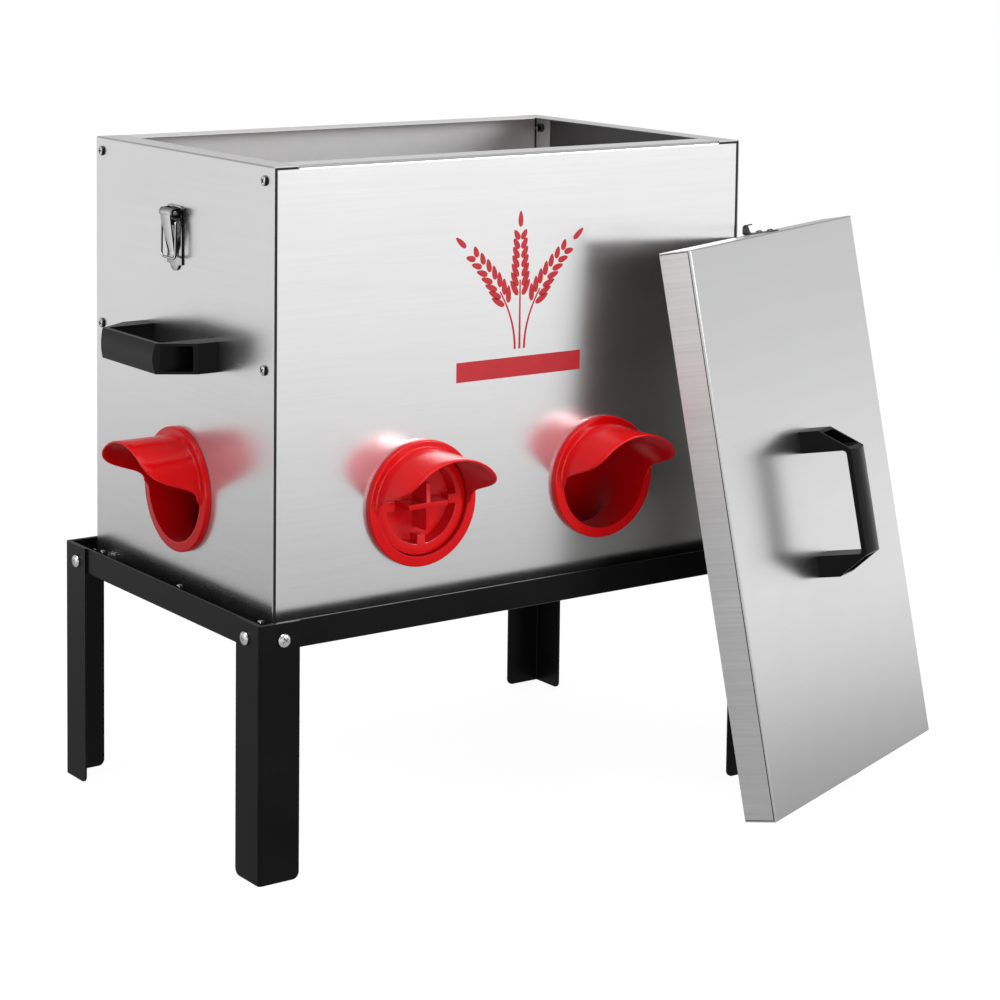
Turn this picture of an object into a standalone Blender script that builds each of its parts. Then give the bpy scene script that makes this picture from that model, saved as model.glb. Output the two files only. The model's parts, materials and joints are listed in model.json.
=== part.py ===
"""Gravity port feeder for poultry: an open-topped sheet-metal hopper on an angle-iron stand,
with four rain-hooded feed ports, one plug, two carrying handles, two draw latches, and a
separate skirted lid that leans on the front of the stand.

Metres, +Z up, -Y is the front, the origin is on the floor in the middle of the whole footprint.
Sizes are given in mm. Pieces are laid out about the point on the floor under the middle of the
hopper, and one empty, feeder_frame, then moves them all."""

import math

import bmesh
import bpy
import numpy as np
from mathutils import Matrix, Vector

MM = 0.001
GAP = 0.3  # clearance between neighbouring pieces
ENDS = {"front": -1, "back": 1}  # sign of Y
SIDES = {"left": -1, "right": 1}  # sign of X
ALONG_X, ALONG_Y, ALONG_Z = (1, 0, 0), (0, 1, 0), (0, 0, 1)

# Stand
LEG_X, LEG_Y = 273.0, 176.0  # outer corner of the legs
LEG_L, LEG_W, IRON = 220.0, 38.8, 1.8
HEEL_R = 3.0  # outside of the bend
LEG_TOE_R = 6.0
RAIL_H = 24.0
RAIL_X, RAIL_Y = LEG_X - IRON - GAP, LEG_Y - IRON - GAP  # outer faces of the rails
RAIL_FOOT = LEG_L - RAIL_H
BOLT_IN, BOLT_DOWN = 23.0, 14.5
BOLT_X, BOLT_Y, BOLT_Z = LEG_X - BOLT_IN, LEG_Y - BOLT_IN, LEG_L - BOLT_DOWN
BOLT_R = 3.0
NUT_R, NUT_T = 5.8, 5.0

# Hopper
W, D = 500.0, 314.0
TOP, BOTTOM = 596.5, RAIL_FOOT + IRON + GAP
SHEET = 1.0
PANEL_FOOT = BOTTOM + SHEET + GAP
SIDE_RIM, END_RIM = 24.5, 29.0
RETURN = 24.0
SCREW_R = 2.4
SCREW_Y = {"front": -D / 2 + 14.0, "back": D / 2 - 11.0}
SCREW_Z = {"top": TOP - 12.5, "middle": 426.0}

# Fasteners: a tapering head and a round shank
SCREW = dict(head_t=2.4, head_r=4.5, crown_r=3.2, shank_r=SCREW_R, shank_l=9.0)
BOLT = dict(head_t=3.4, head_r=6.0, crown_r=4.4, shank_r=BOLT_R, shank_l=11.4)

# Feed ports
PORT_Z = 299.5
FRONT_PORTS = (-102.7, 93.5)  # X of each
FLANGE_R, FLANGE_T, FLANGE_CHAMFER = 55.0, 6.0, 1.6
MOUTH_R, MOUTH_STEP = 46.0, 0.8
NECK_R, NECK_L = 49.4, 22.0
PORT_HOLE_R = 50.0
RING_NUT_R, RING_NUT_T = 57.0, 9.0
ELBOW_R, ELBOW_STEPS, ELBOW_DROP = 56.0, 4, 22.0
HOOD_WALL = 2.0
HOOD_FLARE, HOOD_DROP = 0.140, 0.145  # widening and fall per unit of length
HOOD_EDGE, HOOD_RISE = 4.0, 48.8  # length at mid-height, and how much more at the top
HOOD_POWER, HOOD_BIAS = 2.14, 0.314  # shape of the curve between the two
LIP_L, LIP_FADE = 0.2, 0.12  # length below mid-height, and the sine over which it is reached
SEG = 24

# Plug, in the frame of its port
PLUG_R, PLUG_IN, PLUG_FACE = 45.2, 35.7, 2.6
RIB_END, RIB_START, RIB_HALF = PLUG_IN + 2, 27.5, 4.0
PLUG_PROFILE = [  # radius, distance out of the panel
    (PLUG_R, -18.0), (PLUG_R, PLUG_FACE - 1.0), (PLUG_R - 1.0, PLUG_FACE),
    (PLUG_IN + 0.8, PLUG_FACE), (PLUG_IN, PLUG_FACE - 0.8), (PLUG_IN, -9.0),
    (0.0, -9.0), (0.0, -12.0), (PLUG_IN + 4.0, -12.0), (PLUG_R - 3.0, -18.0),
]
PLUG_BARS = [  # low corner, high corner: crossed grip bars, then left, right, low and high ribs
    ((-20, -2.25, -10), (20, 2.25, 13)),
    ((-2.25, -22.0, -10), (2.25, 19.2, 12.9)),
    ((-RIB_END, -RIB_HALF, -10), (-RIB_START, RIB_HALF, PLUG_FACE - 0.1)),
    ((RIB_START, -RIB_HALF, -10), (RIB_END, RIB_HALF, PLUG_FACE - 0.1)),
    ((-RIB_HALF, -RIB_END, -10), (RIB_HALF, -RIB_START, PLUG_FACE - 0.15)),
    ((-RIB_HALF, RIB_START, -10), (RIB_HALF, RIB_END, PLUG_FACE - 0.15)),
]

# Handles
HANDLE_L, HANDLE_W, HANDLE_H = 135.0, 26.5, 50.4
HANDLE_CROWN, HANDLE_INNER, HANDLE_SHOULDER = 2.3, 45.4, 20.0
HANDLE_TOP_HALF = 48.5  # half the length at HANDLE_H
HANDLE_FOOT, HANDLE_INNER_R = 20.0, 4.0
HANDLE_EDGE = 1.0
POCKET_START, POCKET_WALL, POCKET_FLOOR, POCKET_HALF = 50.5, 2.5, 5.0, 10.6
SIDE_HANDLE_Z = 426.0

# Draw latches
LATCH_Y, LATCH_PIN_X, LATCH_PIN_Z = 8.0, 256.8, 542.5
BASE_HALF, BASE_T, BASE_LOW, BASE_ABOVE_PIN, BASE_CHAMFER = 13.0, 1.4, 497.0, 6.0, 1.5
TAB_R, TAB_Z = 8.0, 499.0
EAR_R, EAR_T, EAR_OUT, EAR_SUNK = 4.0, 1.5, 10.25, 0.9
PIN_R, PIN_HALF = 1.5, 12.0
PIN_HEAD_R, PIN_HEAD_SPAN = 2.4, (11.3, 12.1)
BARREL_R, BARREL_HALF = 4.0, 9.0
LEVER_T, LEVER_W = 1.4, 17.0
LEVER_BEND, LEVER_LOW = 5.0, 505.0  # drop of the bend below the pin, Z of the lower end
LEVER_TAPER, LEVER_TAPER_L = 0.353, 30.0
SLEEVE_R, SLEEVE_HALF = 2.5, 8.0
BAIL_DOWN, BAIL_L, BAIL_HALF, WIRE_R = 8.0, 31.5, 12.6, 1.1
BAIL_TOP_R, BAIL_LOW_R, BAIL_END, BAIL_LEAN = 1.6, 3.0, 4.5, 0.5
LATCH_BORE_REACH = 20.0

# Lid. In its own frame X runs down its length and the skirt hangs along -Z.
LID_L, LID_D, LID_H = 505.6, 320.4, 31.6
LID_EDGE = 2.2
LID_YAW, LID_LEAN = -68.9, 78.9
LID_CORNER = (125.0, -238.7, 512.2)
LID = (
    Matrix.Translation(Vector(LID_CORNER) * MM)
    @ Matrix.Rotation(math.radians(LID_YAW), 4, "Z")
    @ Matrix.Rotation(math.radians(LID_LEAN), 4, "Y")
)
KEEPER_Y, KEEPER_W, KEEPER_T = 168.0, 14.0, 1.2
KEEPER_TOP, KEEPER_BEND_R, KEEPER_LIP = 3.6, 2.2, 4.8
KEEPER_BEND_X, KEEPER_BEND_DOWN = 6.2, 0.2  # centres of the bends: outer X, drop below the skirt

# Middle of the whole footprint, seen from the middle of the stand
MIDDLE_X, MIDDLE_Y = 74.69, -74.44

FINISH = {
    "steel": dict(colour=(0.62, 0.62, 0.62), roughness=0.34, metallic=1.0),
    "black_iron": dict(colour=(0.012, 0.012, 0.013), roughness=0.42, metallic=0.0),
    "red": dict(colour=(0.52, 0.008, 0.012), roughness=0.22, metallic=0.0),
    "black_plastic": dict(colour=(0.012, 0.012, 0.012), roughness=0.38, metallic=0.0),
    "zinc": dict(colour=(0.72, 0.72, 0.74), roughness=0.25, metallic=1.0),
}

for obj in list(bpy.data.objects):
    bpy.data.objects.remove(obj)

PARTS = bpy.data.collections.new("poultry_port_feeder")
CUTTERS = bpy.data.collections.new("cutters")
bpy.context.scene.collection.children.link(PARTS)
bpy.context.scene.collection.children.link(CUTTERS)


# ---------------------------------------------------------------- objects and modifiers
def material(name, colour, roughness, metallic):
    made = bpy.data.materials.new(name)
    made.use_nodes = True
    shader = made.node_tree.nodes["Principled BSDF"]
    shader.inputs["Base Color"].default_value = (*colour, 1.0)
    shader.inputs["Roughness"].default_value = roughness
    shader.inputs["Metallic"].default_value = metallic
    made.diffuse_color = (*colour, 1.0)
    return made


def keep(name, mesh, finish, matrix=None):
    """A part: one object with its own material."""
    mesh.name = name
    obj = bpy.data.objects.new(name, mesh)
    PARTS.objects.link(obj)
    if matrix is not None:
        obj.matrix_world = matrix
    mesh.materials.append(material(name + "_finish", **FINISH[finish]))
    return obj


def boolean(obj, operation, helper_name, mesh):
    """Adds a boolean modifier that uses mesh, held by a hidden helper object."""
    mesh.name = helper_name
    helper = bpy.data.objects.new(helper_name, mesh)
    CUTTERS.objects.link(helper)
    helper.hide_render = True
    helper.display_type = "WIRE"
    step = obj.modifiers.new(operation.lower(), "BOOLEAN")
    step.operation = operation
    step.solver = "EXACT"
    step.object = helper


def cut(obj, meshes):
    for i, mesh in enumerate(meshes):
        boolean(obj, "DIFFERENCE", f"{obj.name}_cut_{i}", mesh)


def join(obj, meshes):
    for i, mesh in enumerate(meshes):
        boolean(obj, "UNION", f"{obj.name}_join_{i}", mesh)


# ---------------------------------------------------------------- meshes, all arguments in mm
def mesh_of(bm, smooth=False):
    """Welds bm, turns its faces outward, and frees it into a new mesh."""
    bmesh.ops.remove_doubles(bm, verts=bm.verts, dist=1e-7)
    bmesh.ops.recalc_face_normals(bm, faces=bm.faces)
    mesh = bpy.data.meshes.new("mesh")
    bm.to_mesh(mesh)
    bm.free()
    for face in mesh.polygons:
        face.use_smooth = smooth
    return mesh


def add_box(bm, corner, opposite):
    """Adds a box between any two opposite corners."""
    low, high = np.sort(np.array((corner, opposite), float) * MM, axis=0)
    place = Matrix.Translation(Vector((low + high) / 2)) @ Matrix.Diagonal((*(high - low), 1.0))
    bmesh.ops.create_cube(bm, size=1.0, matrix=place)


def box_mesh(corner, opposite):
    bm = bmesh.new()
    add_box(bm, corner, opposite)
    return mesh_of(bm)


def rod_mesh(start, end, radius, segments=12, radius_end=None):
    """A capped cylinder or cone between two points."""
    a, b = Vector(start) * MM, Vector(end) * MM
    turn = (b - a).to_track_quat("Z", "Y").to_matrix().to_4x4()
    bm = bmesh.new()
    bmesh.ops.create_cone(
        bm, cap_ends=True, segments=segments, radius1=radius * MM,
        radius2=(radius if radius_end is None else radius_end) * MM,
        depth=(b - a).length, matrix=Matrix.Translation((a + b) / 2) @ turn,
    )
    return mesh_of(bm)


def bore(point, axis, reach, radius, segments=12):
    """A rod that reaches equally far to both sides of a point."""
    point, along = Vector(point), Vector(axis) * reach
    return rod_mesh(point - along, point + along, radius, segments)


def add_spline(curve, points, closed):
    spline = curve.splines.new("POLY")
    spline.points.add(len(points) - 1)
    for target, point in zip(spline.points, points):
        target.co = (*(value * MM for value in point), 1.0)
    spline.use_cyclic_u = closed


def curve_mesh(curve, smooth=False):
    holder = bpy.data.objects.new("curve", curve)
    bpy.context.scene.collection.objects.link(holder)
    bpy.context.view_layer.update()
    graph = bpy.context.evaluated_depsgraph_get()
    made = bpy.data.meshes.new_from_object(holder.evaluated_get(graph))
    bpy.data.objects.remove(holder)
    bm = bmesh.new()
    bm.from_mesh(made)
    return mesh_of(bm, smooth)


def plate_mesh(thickness, *outlines):
    """A flat plate in the XY plane, centred on Z = 0. Outlines after the first are holes."""
    curve = bpy.data.curves.new("plate", "CURVE")
    curve.dimensions = "2D"
    curve.fill_mode = "BOTH"
    curve.extrude = thickness * MM / 2
    for outline in outlines:
        add_spline(curve, [(x, y, 0.0) for x, y in outline], closed=True)
    return curve_mesh(curve)


def arc(centre_x, centre_y, radius, start, end, steps):
    """Points on an arc, angles in degrees."""
    return [
        (centre_x + radius * math.cos(angle), centre_y + radius * math.sin(angle))
        for angle in (math.radians(degrees) for degrees in np.linspace(start, end, steps + 1))
    ]


def ring_points(radius, count):
    turns = [2 * math.pi * i / count for i in range(count)]
    return [(radius * math.cos(turn), radius * math.sin(turn)) for turn in turns]


def frame(origin, x_dir, y_dir):
    """Placement with local X and Y along the given directions."""
    x, y = Vector(x_dir).normalized(), Vector(y_dir).normalized()
    turn = Matrix((x, y, x.cross(y))).transposed().to_4x4()
    return Matrix.Translation(Vector(origin) * MM) @ turn


def baked(mesh, matrix):
    mesh.transform(matrix)
    if matrix.determinant() < 0:
        mesh.flip_normals()
    return mesh


def fastener(name, seat, out, head_t, head_r, crown_r, shank_r, shank_l):
    """A screw or bolt: the head stands on seat toward out, the shank runs the other way."""
    head = rod_mesh(seat, seat + out * head_t, head_r, radius_end=crown_r)
    obj = keep(name, head, "zinc")
    join(obj, [rod_mesh(seat + out, seat - out * shank_l, shank_r)])


# ---------------------------------------------------------------- hopper
def port_hole(x, y, axis):
    return bore((x, y, PORT_Z), axis, 5, PORT_HOLE_R, SEG)


def screw_hole(side_sign, y, z):
    return bore((side_sign * W / 2, y, z), ALONG_X, 5, SCREW_R + GAP)


def end_panel(end, sign):
    """Front or back panel with side returns and a folded top rim."""
    face, half = sign * D / 2, W / 2 - SHEET - GAP
    sheet = box_mesh((-half, face, PANEL_FOOT), (half, sign * (D / 2 - SHEET), TOP))
    obj = keep(f"{end}_panel", sheet, "steel")
    folds = [
        box_mesh(
            (s * half, face, PANEL_FOOT),
            (s * (half - SHEET), sign * (D / 2 - RETURN), TOP - SHEET - GAP),
        )
        for s in SIDES.values()
    ]
    rim_half = W / 2 - SIDE_RIM - GAP  # clear of the side rims
    folds.append(
        box_mesh((-rim_half, face, TOP - SHEET), (rim_half, sign * (D / 2 - END_RIM), TOP))
    )
    join(obj, folds)
    holes = [port_hole(x, face, ALONG_Y) for x in FRONT_PORTS] if end == "front" else []
    holes += [screw_hole(s, SCREW_Y[end], z) for z in SCREW_Z.values() for s in SIDES.values()]
    cut(obj, holes)


def side_panel(side, sign):
    """Left or right panel with a folded top rim."""
    face = sign * W / 2
    sheet = box_mesh((face, -D / 2, PANEL_FOOT), (sign * (W / 2 - SHEET), D / 2, TOP))
    obj = keep(f"{side}_side_panel", sheet, "steel")
    rim_half = D / 2 - SHEET - GAP
    rim = box_mesh((face, -rim_half, TOP - SHEET), (sign * (W / 2 - SIDE_RIM), rim_half, TOP))
    join(obj, [rim])
    holes = [port_hole(face, 0, ALONG_X)]
    holes += [screw_hole(sign, y, z) for z in SCREW_Z.values() for y in SCREW_Y.values()]
    cut(obj, holes)


for end, sign in ENDS.items():
    end_panel(end, sign)
for side, sign in SIDES.items():
    side_panel(side, sign)
    for row, z in SCREW_Z.items():
        for end, y in SCREW_Y.items():
            seat = Vector((sign * (W / 2 + GAP), y, z))
            fastener(f"{side}_{row}_{end}_screw", seat, Vector((sign, 0, 0)), **SCREW)
floor_pan = box_mesh((-W / 2, -D / 2, BOTTOM), (W / 2, D / 2, BOTTOM + SHEET))
keep("floor_pan", floor_pan, "steel")


# ---------------------------------------------------------------- stand
def bolt_hole(point, axis):
    return bore(point, axis, 8, BOLT_R + GAP)


def rail(name, sign, runs_along_x, face, reach, shelf_reach, bolt_at):
    """Angle-iron rail: an upright wall and an inward shelf at its foot.

    face is how far out the wall stands; the reaches are half lengths."""

    def at(along, out, z):
        return (along, out, z) if runs_along_x else (out, along, z)

    wall = box_mesh(
        at(-reach, sign * face, RAIL_FOOT), at(reach, sign * (face - IRON), LEG_L)
    )
    obj = keep(name, wall, "black_iron")
    shelf = box_mesh(
        at(-shelf_reach, sign * face, RAIL_FOOT),
        at(shelf_reach, sign * (face - LEG_W), RAIL_FOOT + IRON),
    )
    join(obj, [shelf])
    cut(obj, [bolt_hole(at(s * bolt_at, sign * face, BOLT_Z), at(0, 1, 0)) for s in (-1, 1)])


def leg_mesh(x_sign, y_sign):
    """Angle section with its heel at the stand's corner and its lower toes rounded."""
    section = [(LEG_W, 0.0), (LEG_W, IRON)]
    section += arc(HEEL_R, HEEL_R, HEEL_R - IRON, 270, 180, 3)
    section += [(IRON, LEG_W), (0.0, LEG_W)]
    section += arc(HEEL_R, HEEL_R, HEEL_R, 180, 270, 4)
    outline = [(x_sign * (LEG_X - x), y_sign * (LEG_Y - y)) for x, y in section]
    upright = baked(plate_mesh(LEG_L, outline), Matrix.Translation((0, 0, LEG_L * MM / 2)))
    bm = bmesh.new()
    bm.from_mesh(upright)
    bmesh.ops.dissolve_limit(bm, angle_limit=0.01, verts=bm.verts, edges=bm.edges)

    def is_toe(edge):
        """On the floor, at the free end of either flange."""
        points = [vert.co / MM for vert in edge.verts]
        return all(point.z < 0.1 for point in points) and any(
            all(abs(abs(point[axis]) - (corner - LEG_W)) < 0.1 for point in points)
            for axis, corner in enumerate((LEG_X, LEG_Y))
        )

    toes = [edge for edge in bm.edges if is_toe(edge)]
    bmesh.ops.bevel(
        bm, geom=toes, offset=LEG_TOE_R * MM, segments=4, profile=0.5, affect="EDGES"
    )
    return mesh_of(bm)


def bolt_and_nut(corner, facing, point, out):
    """A bolt through leg and rail, with its head at point and its nut inside the rail."""
    fastener(f"{corner}_bolt_{facing}", point, out, **BOLT)
    inner = point - out * (2 * IRON + 3 * GAP)
    nut_body = rod_mesh(inner, inner - out * NUT_T, NUT_R, segments=6)
    nut = keep(f"{corner}_nut_{facing}", nut_body, "zinc")
    cut(nut, [rod_mesh(inner + out * 3, inner - out * 9, BOLT_R + GAP)])


for end, sign in ENDS.items():
    # 1 mm shorter, to stay clear of the inside of the leg's bend
    rail(f"{end}_rail", sign, True, RAIL_Y, reach=RAIL_X - 1.0,
         shelf_reach=RAIL_X - IRON - GAP, bolt_at=BOLT_X)
for side, sign in SIDES.items():
    rail(f"{side}_rail", sign, False, RAIL_X, reach=RAIL_Y - IRON - GAP,
         shelf_reach=RAIL_Y - LEG_W - GAP, bolt_at=BOLT_Y)
for end, y_sign in ENDS.items():
    for side, x_sign in SIDES.items():
        corner = f"{end}_{side}"
        leg = keep(f"{corner}_leg", leg_mesh(x_sign, y_sign), "black_iron")
        cut(leg, [
            bolt_hole((x_sign * BOLT_X, y_sign * LEG_Y, BOLT_Z), ALONG_Y),
            bolt_hole((x_sign * LEG_X, y_sign * BOLT_Y, BOLT_Z), ALONG_X),
        ])
        end_seat = Vector((x_sign * BOLT_X, y_sign * (LEG_Y + GAP), BOLT_Z))
        side_seat = Vector((x_sign * (LEG_X + GAP), y_sign * BOLT_Y, BOLT_Z))
        bolt_and_nut(corner, end, end_seat, Vector((0, y_sign, 0)))
        bolt_and_nut(corner, side, side_seat, Vector((x_sign, 0, 0)))


# ---------------------------------------------------------------- feed ports
# In a port's frame the mouth axis is +Z, up is +Y, and the panel's face is at Z = 0.
def hood_length(turn):
    """How far the hood stands out of the flange at an angle round the mouth."""
    height = math.sin(turn)
    if height <= 0:
        return LIP_L + (HOOD_EDGE - LIP_L) * max(0.0, 1.0 + height / LIP_FADE)
    rise = height**HOOD_POWER
    return HOOD_EDGE + HOOD_RISE * rise / (rise + HOOD_BIAS * (1.0 - height) ** HOOD_POWER)


def port_section(turn):
    """Closed section of the port's wall at an angle round the mouth."""
    across, up = math.cos(turn), math.sin(turn)

    def elbow(radius, bend):
        """A point of the tube that turns down inside the hopper, bend in radians."""
        reach = ELBOW_R + radius * up
        return (
            radius * across,
            -ELBOW_R + reach * math.cos(bend),
            -NECK_L - reach * math.sin(bend),
        )

    def outlet(radius):
        x, y, z = elbow(radius, math.pi / 2)
        return (x, y - ELBOW_DROP, z)

    def ring(radius, z, drop=0.0):
        return (radius * across, radius * up - drop, z)

    def hood(share, wall):
        out = share * hood_length(turn)
        return ring(MOUTH_R + wall + HOOD_FLARE * out, FLANGE_T + out, HOOD_DROP * out)

    bends = [math.pi / 2 * i / ELBOW_STEPS for i in range(ELBOW_STEPS + 1)]
    return [
        outlet(NECK_R),
        *(elbow(NECK_R, bend) for bend in reversed(bends)),
        ring(NECK_R, GAP),
        ring(FLANGE_R, GAP),
        ring(FLANGE_R, FLANGE_T - FLANGE_CHAMFER),
        ring(FLANGE_R - FLANGE_CHAMFER, FLANGE_T),
        *(hood(share, HOOD_WALL) for share in (0.0, 0.5, 1.0)),
        *(hood(share, 0.0) for share in (1.0, 0.5)),
        ring(MOUTH_R, FLANGE_T - MOUTH_STEP),
        *(elbow(MOUTH_R, bend) for bend in bends),
        outlet(MOUTH_R),
    ]


def port_mesh():
    bm = bmesh.new()
    sections = [
        [bm.verts.new(Vector(point) * MM) for point in port_section(2 * math.pi * i / SEG)]
        for i in range(SEG)
    ]
    for a, b in zip(sections, sections[1:] + sections[:1]):
        for j in range(len(a)):
            k = (j + 1) % len(a)
            bm.faces.new((a[j], b[j], b[k], a[k]))
    return mesh_of(bm, smooth=True)


def ring_nut_mesh():
    """Twelve-sided ring inside the panel."""
    ring = plate_mesh(RING_NUT_T, ring_points(RING_NUT_R, 12), ring_points(PORT_HOLE_R, SEG))
    return baked(ring, Matrix.Translation((0, 0, -(SHEET + GAP + RING_NUT_T / 2) * MM)))


PLUG_AT = (FRONT_PORTS[0], -D / 2, PORT_Z)
PORT_FRAMES = {
    "front_left": frame(PLUG_AT, ALONG_X, ALONG_Z),
    "front_right": frame((FRONT_PORTS[1], -D / 2, PORT_Z), ALONG_X, ALONG_Z),
    "left_side": frame((-W / 2, 0, PORT_Z), (0, -1, 0), ALONG_Z),
    "right_side": frame((W / 2, 0, PORT_Z), ALONG_Y, ALONG_Z),
}
for where, place in PORT_FRAMES.items():
    keep(f"{where}_port", port_mesh(), "red", place)
    keep(f"{where}_ring_nut", ring_nut_mesh(), "red", place)


# ---------------------------------------------------------------- plug
def plug_mesh():
    bm = bmesh.new()
    profile = [bm.verts.new((radius * MM, 0, z * MM)) for radius, z in PLUG_PROFILE]
    # The edge that lies on the axis is left out of the spin.
    edges = [
        bm.edges.new(pair)
        for pair in zip(profile, profile[1:] + profile[:1])
        if any(vert.co.x > 0 for vert in pair)
    ]
    bmesh.ops.spin(
        bm, geom=profile + edges, cent=(0, 0, 0), axis=ALONG_Z,
        angle=2 * math.pi, steps=SEG, use_merge=True,
    )
    return mesh_of(bm)


plug = keep("feed_port_plug", plug_mesh(), "red", PORT_FRAMES["front_left"])
for i, (low, high) in enumerate(PLUG_BARS):
    bar = baked(box_mesh(low, high), PORT_FRAMES["front_left"])
    boolean(plug, "UNION", f"plug_join_{i}", bar)


# ---------------------------------------------------------------- handles
# In a handle's frame the length is along X, it stands out along +Y, and its width is along Z.
def handle_mesh():
    """Bridge handle, left a little tall because the crown is cut across it afterwards."""
    half, tall = HANDLE_L / 2, HANDLE_H + HANDLE_CROWN + 0.8
    slope = (HANDLE_TOP_HALF - half) / (HANDLE_H - HANDLE_SHOULDER)
    top = half + slope * (tall - HANDLE_SHOULDER)
    foot, r = half - HANDLE_FOOT, HANDLE_INNER_R
    outline = [
        (half, 0.0), (half, HANDLE_SHOULDER), (top, tall),
        (-top, tall), (-half, HANDLE_SHOULDER), (-half, 0.0), (-foot, 0.0),
    ]
    outline += arc(-foot + r, HANDLE_INNER - r, r, 180, 90, 3)
    outline += arc(foot - r, HANDLE_INNER - r, r, 90, 0, 3)
    outline += [(foot, 0.0)]
    return plate_mesh(HANDLE_W, outline)


def crown_mesh():
    """The space under the grip's crowned outer face, highest in the middle of its width."""
    half = HANDLE_W / 2
    edge = half + 2
    outline = [(-edge, -3.0), (edge, -3.0)]
    outline += [
        (across, HANDLE_H + HANDLE_CROWN * (1 - (across / half) ** 2))
        for across in np.linspace(edge, -edge, 11)
    ]
    return baked(plate_mesh(HANDLE_L + 10, outline), frame((0, 0, 0), ALONG_Z, ALONG_Y))


def handle(name, place):
    """A handle with a crowned grip, and a screw pocket sunk into the slope at each end."""
    obj = keep(name, handle_mesh(), "black_plastic", place)
    step = obj.modifiers.new("edges", "BEVEL")
    step.width = HANDLE_EDGE * MM
    step.segments = 1
    step.limit_method = "ANGLE"
    step.angle_limit = math.radians(40)
    boolean(obj, "INTERSECT", name + "_crown", baked(crown_mesh(), place))
    far = HANDLE_L / 2 - POCKET_WALL
    pockets = [
        box_mesh((s * POCKET_START, POCKET_FLOOR, -POCKET_HALF), (s * far, 70.0, POCKET_HALF))
        for s in (-1, 1)
    ]
    cut(obj, [baked(pocket, place) for pocket in pockets])


for side, sign in SIDES.items():
    place = frame((sign * (W / 2 + GAP), 0, SIDE_HANDLE_Z), (0, -sign, 0), (sign, 0, 0))
    handle(f"{side}_side_handle", place)

# ---------------------------------------------------------------- draw latches
# Each function makes a left-hand piece and returns its body, what is joined and what is cut.
PIN_X, LATCH_BACK = -LATCH_PIN_X, -W / 2 - GAP
BAIL_Z = LATCH_PIN_Z - BAIL_DOWN


def cross_rod(z, radius, start, end, segments=12):
    """A rod along Y at the pin's X, its ends measured from the latch's middle."""
    return rod_mesh((PIN_X, LATCH_Y + start, z), (PIN_X, LATCH_Y + end, z), radius, segments)


def cross_bore(z, radius):
    return cross_rod(z, radius + GAP, -LATCH_BORE_REACH, LATCH_BORE_REACH)


def latch_base():
    """Plate with a round tab below and two ears that carry the pin."""
    y, top = LATCH_Y, LATCH_PIN_Z + BASE_ABOVE_PIN
    outline = [(y - BASE_HALF, BASE_LOW), (y - TAB_R, BASE_LOW)]
    outline += arc(y, TAB_Z, TAB_R, 180, 360, 8)
    outline += [
        (y + TAB_R, BASE_LOW), (y + BASE_HALF, BASE_LOW),
        (y + BASE_HALF, top - BASE_CHAMFER), (y + BASE_HALF - BASE_CHAMFER, top),
        (y - BASE_HALF + BASE_CHAMFER, top), (y - BASE_HALF, top - BASE_CHAMFER),
    ]
    place = frame((LATCH_BACK - BASE_T / 2, 0, 0), ALONG_Y, ALONG_Z)
    root = LATCH_BACK - EAR_SUNK
    ear = [(root, LATCH_PIN_Z + EAR_R)]
    ear += arc(PIN_X, LATCH_PIN_Z, EAR_R, 90, 270, 8)
    ear += [(root, LATCH_PIN_Z - EAR_R)]
    ears = [
        baked(plate_mesh(EAR_T, ear), frame((0, y + s * EAR_OUT, 0), ALONG_X, ALONG_Z))
        for s in (-1, 1)
    ]
    return baked(plate_mesh(BASE_T, outline), place), ears, [cross_bore(LATCH_PIN_Z, PIN_R)]


def latch_pin():
    start, end = PIN_HEAD_SPAN
    heads = [cross_rod(LATCH_PIN_Z, PIN_HEAD_R, s * start, s * end) for s in (-1, 1)]
    return cross_rod(LATCH_PIN_Z, PIN_R, -PIN_HALF, PIN_HALF), heads, []


def latch_lever():
    """Rolled barrel, tapering plate and the sleeve that holds the bail."""
    bend_z = LATCH_PIN_Z - LEVER_BEND
    path = [(PIN_X - 3.3, LATCH_PIN_Z), (PIN_X - 3.1, bend_z), (PIN_X + 2.9, LEVER_LOW)]
    outline = [(x - LEVER_T / 2, z) for x, z in path]
    outline += [(x + LEVER_T / 2, z) for x, z in reversed(path)]
    strip = baked(plate_mesh(LEVER_W, outline), frame((0, LATCH_Y, 0), ALONG_X, ALONG_Z))
    for vertex in strip.vertices:
        share = min(1.0, max(0.0, (bend_z - vertex.co.z / MM) / LEVER_TAPER_L))
        across = vertex.co.y / MM - LATCH_Y
        vertex.co.y = (LATCH_Y + across * (1.0 - LEVER_TAPER * share)) * MM
    barrel = cross_rod(LATCH_PIN_Z, BARREL_R, -BARREL_HALF, BARREL_HALF, segments=16)
    sleeve = cross_rod(BAIL_Z, SLEEVE_R, -SLEEVE_HALF, SLEEVE_HALF)
    bores = [cross_bore(LATCH_PIN_Z, PIN_R), cross_bore(BAIL_Z, WIRE_R)]
    return barrel, [strip, sleeve], bores


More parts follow.
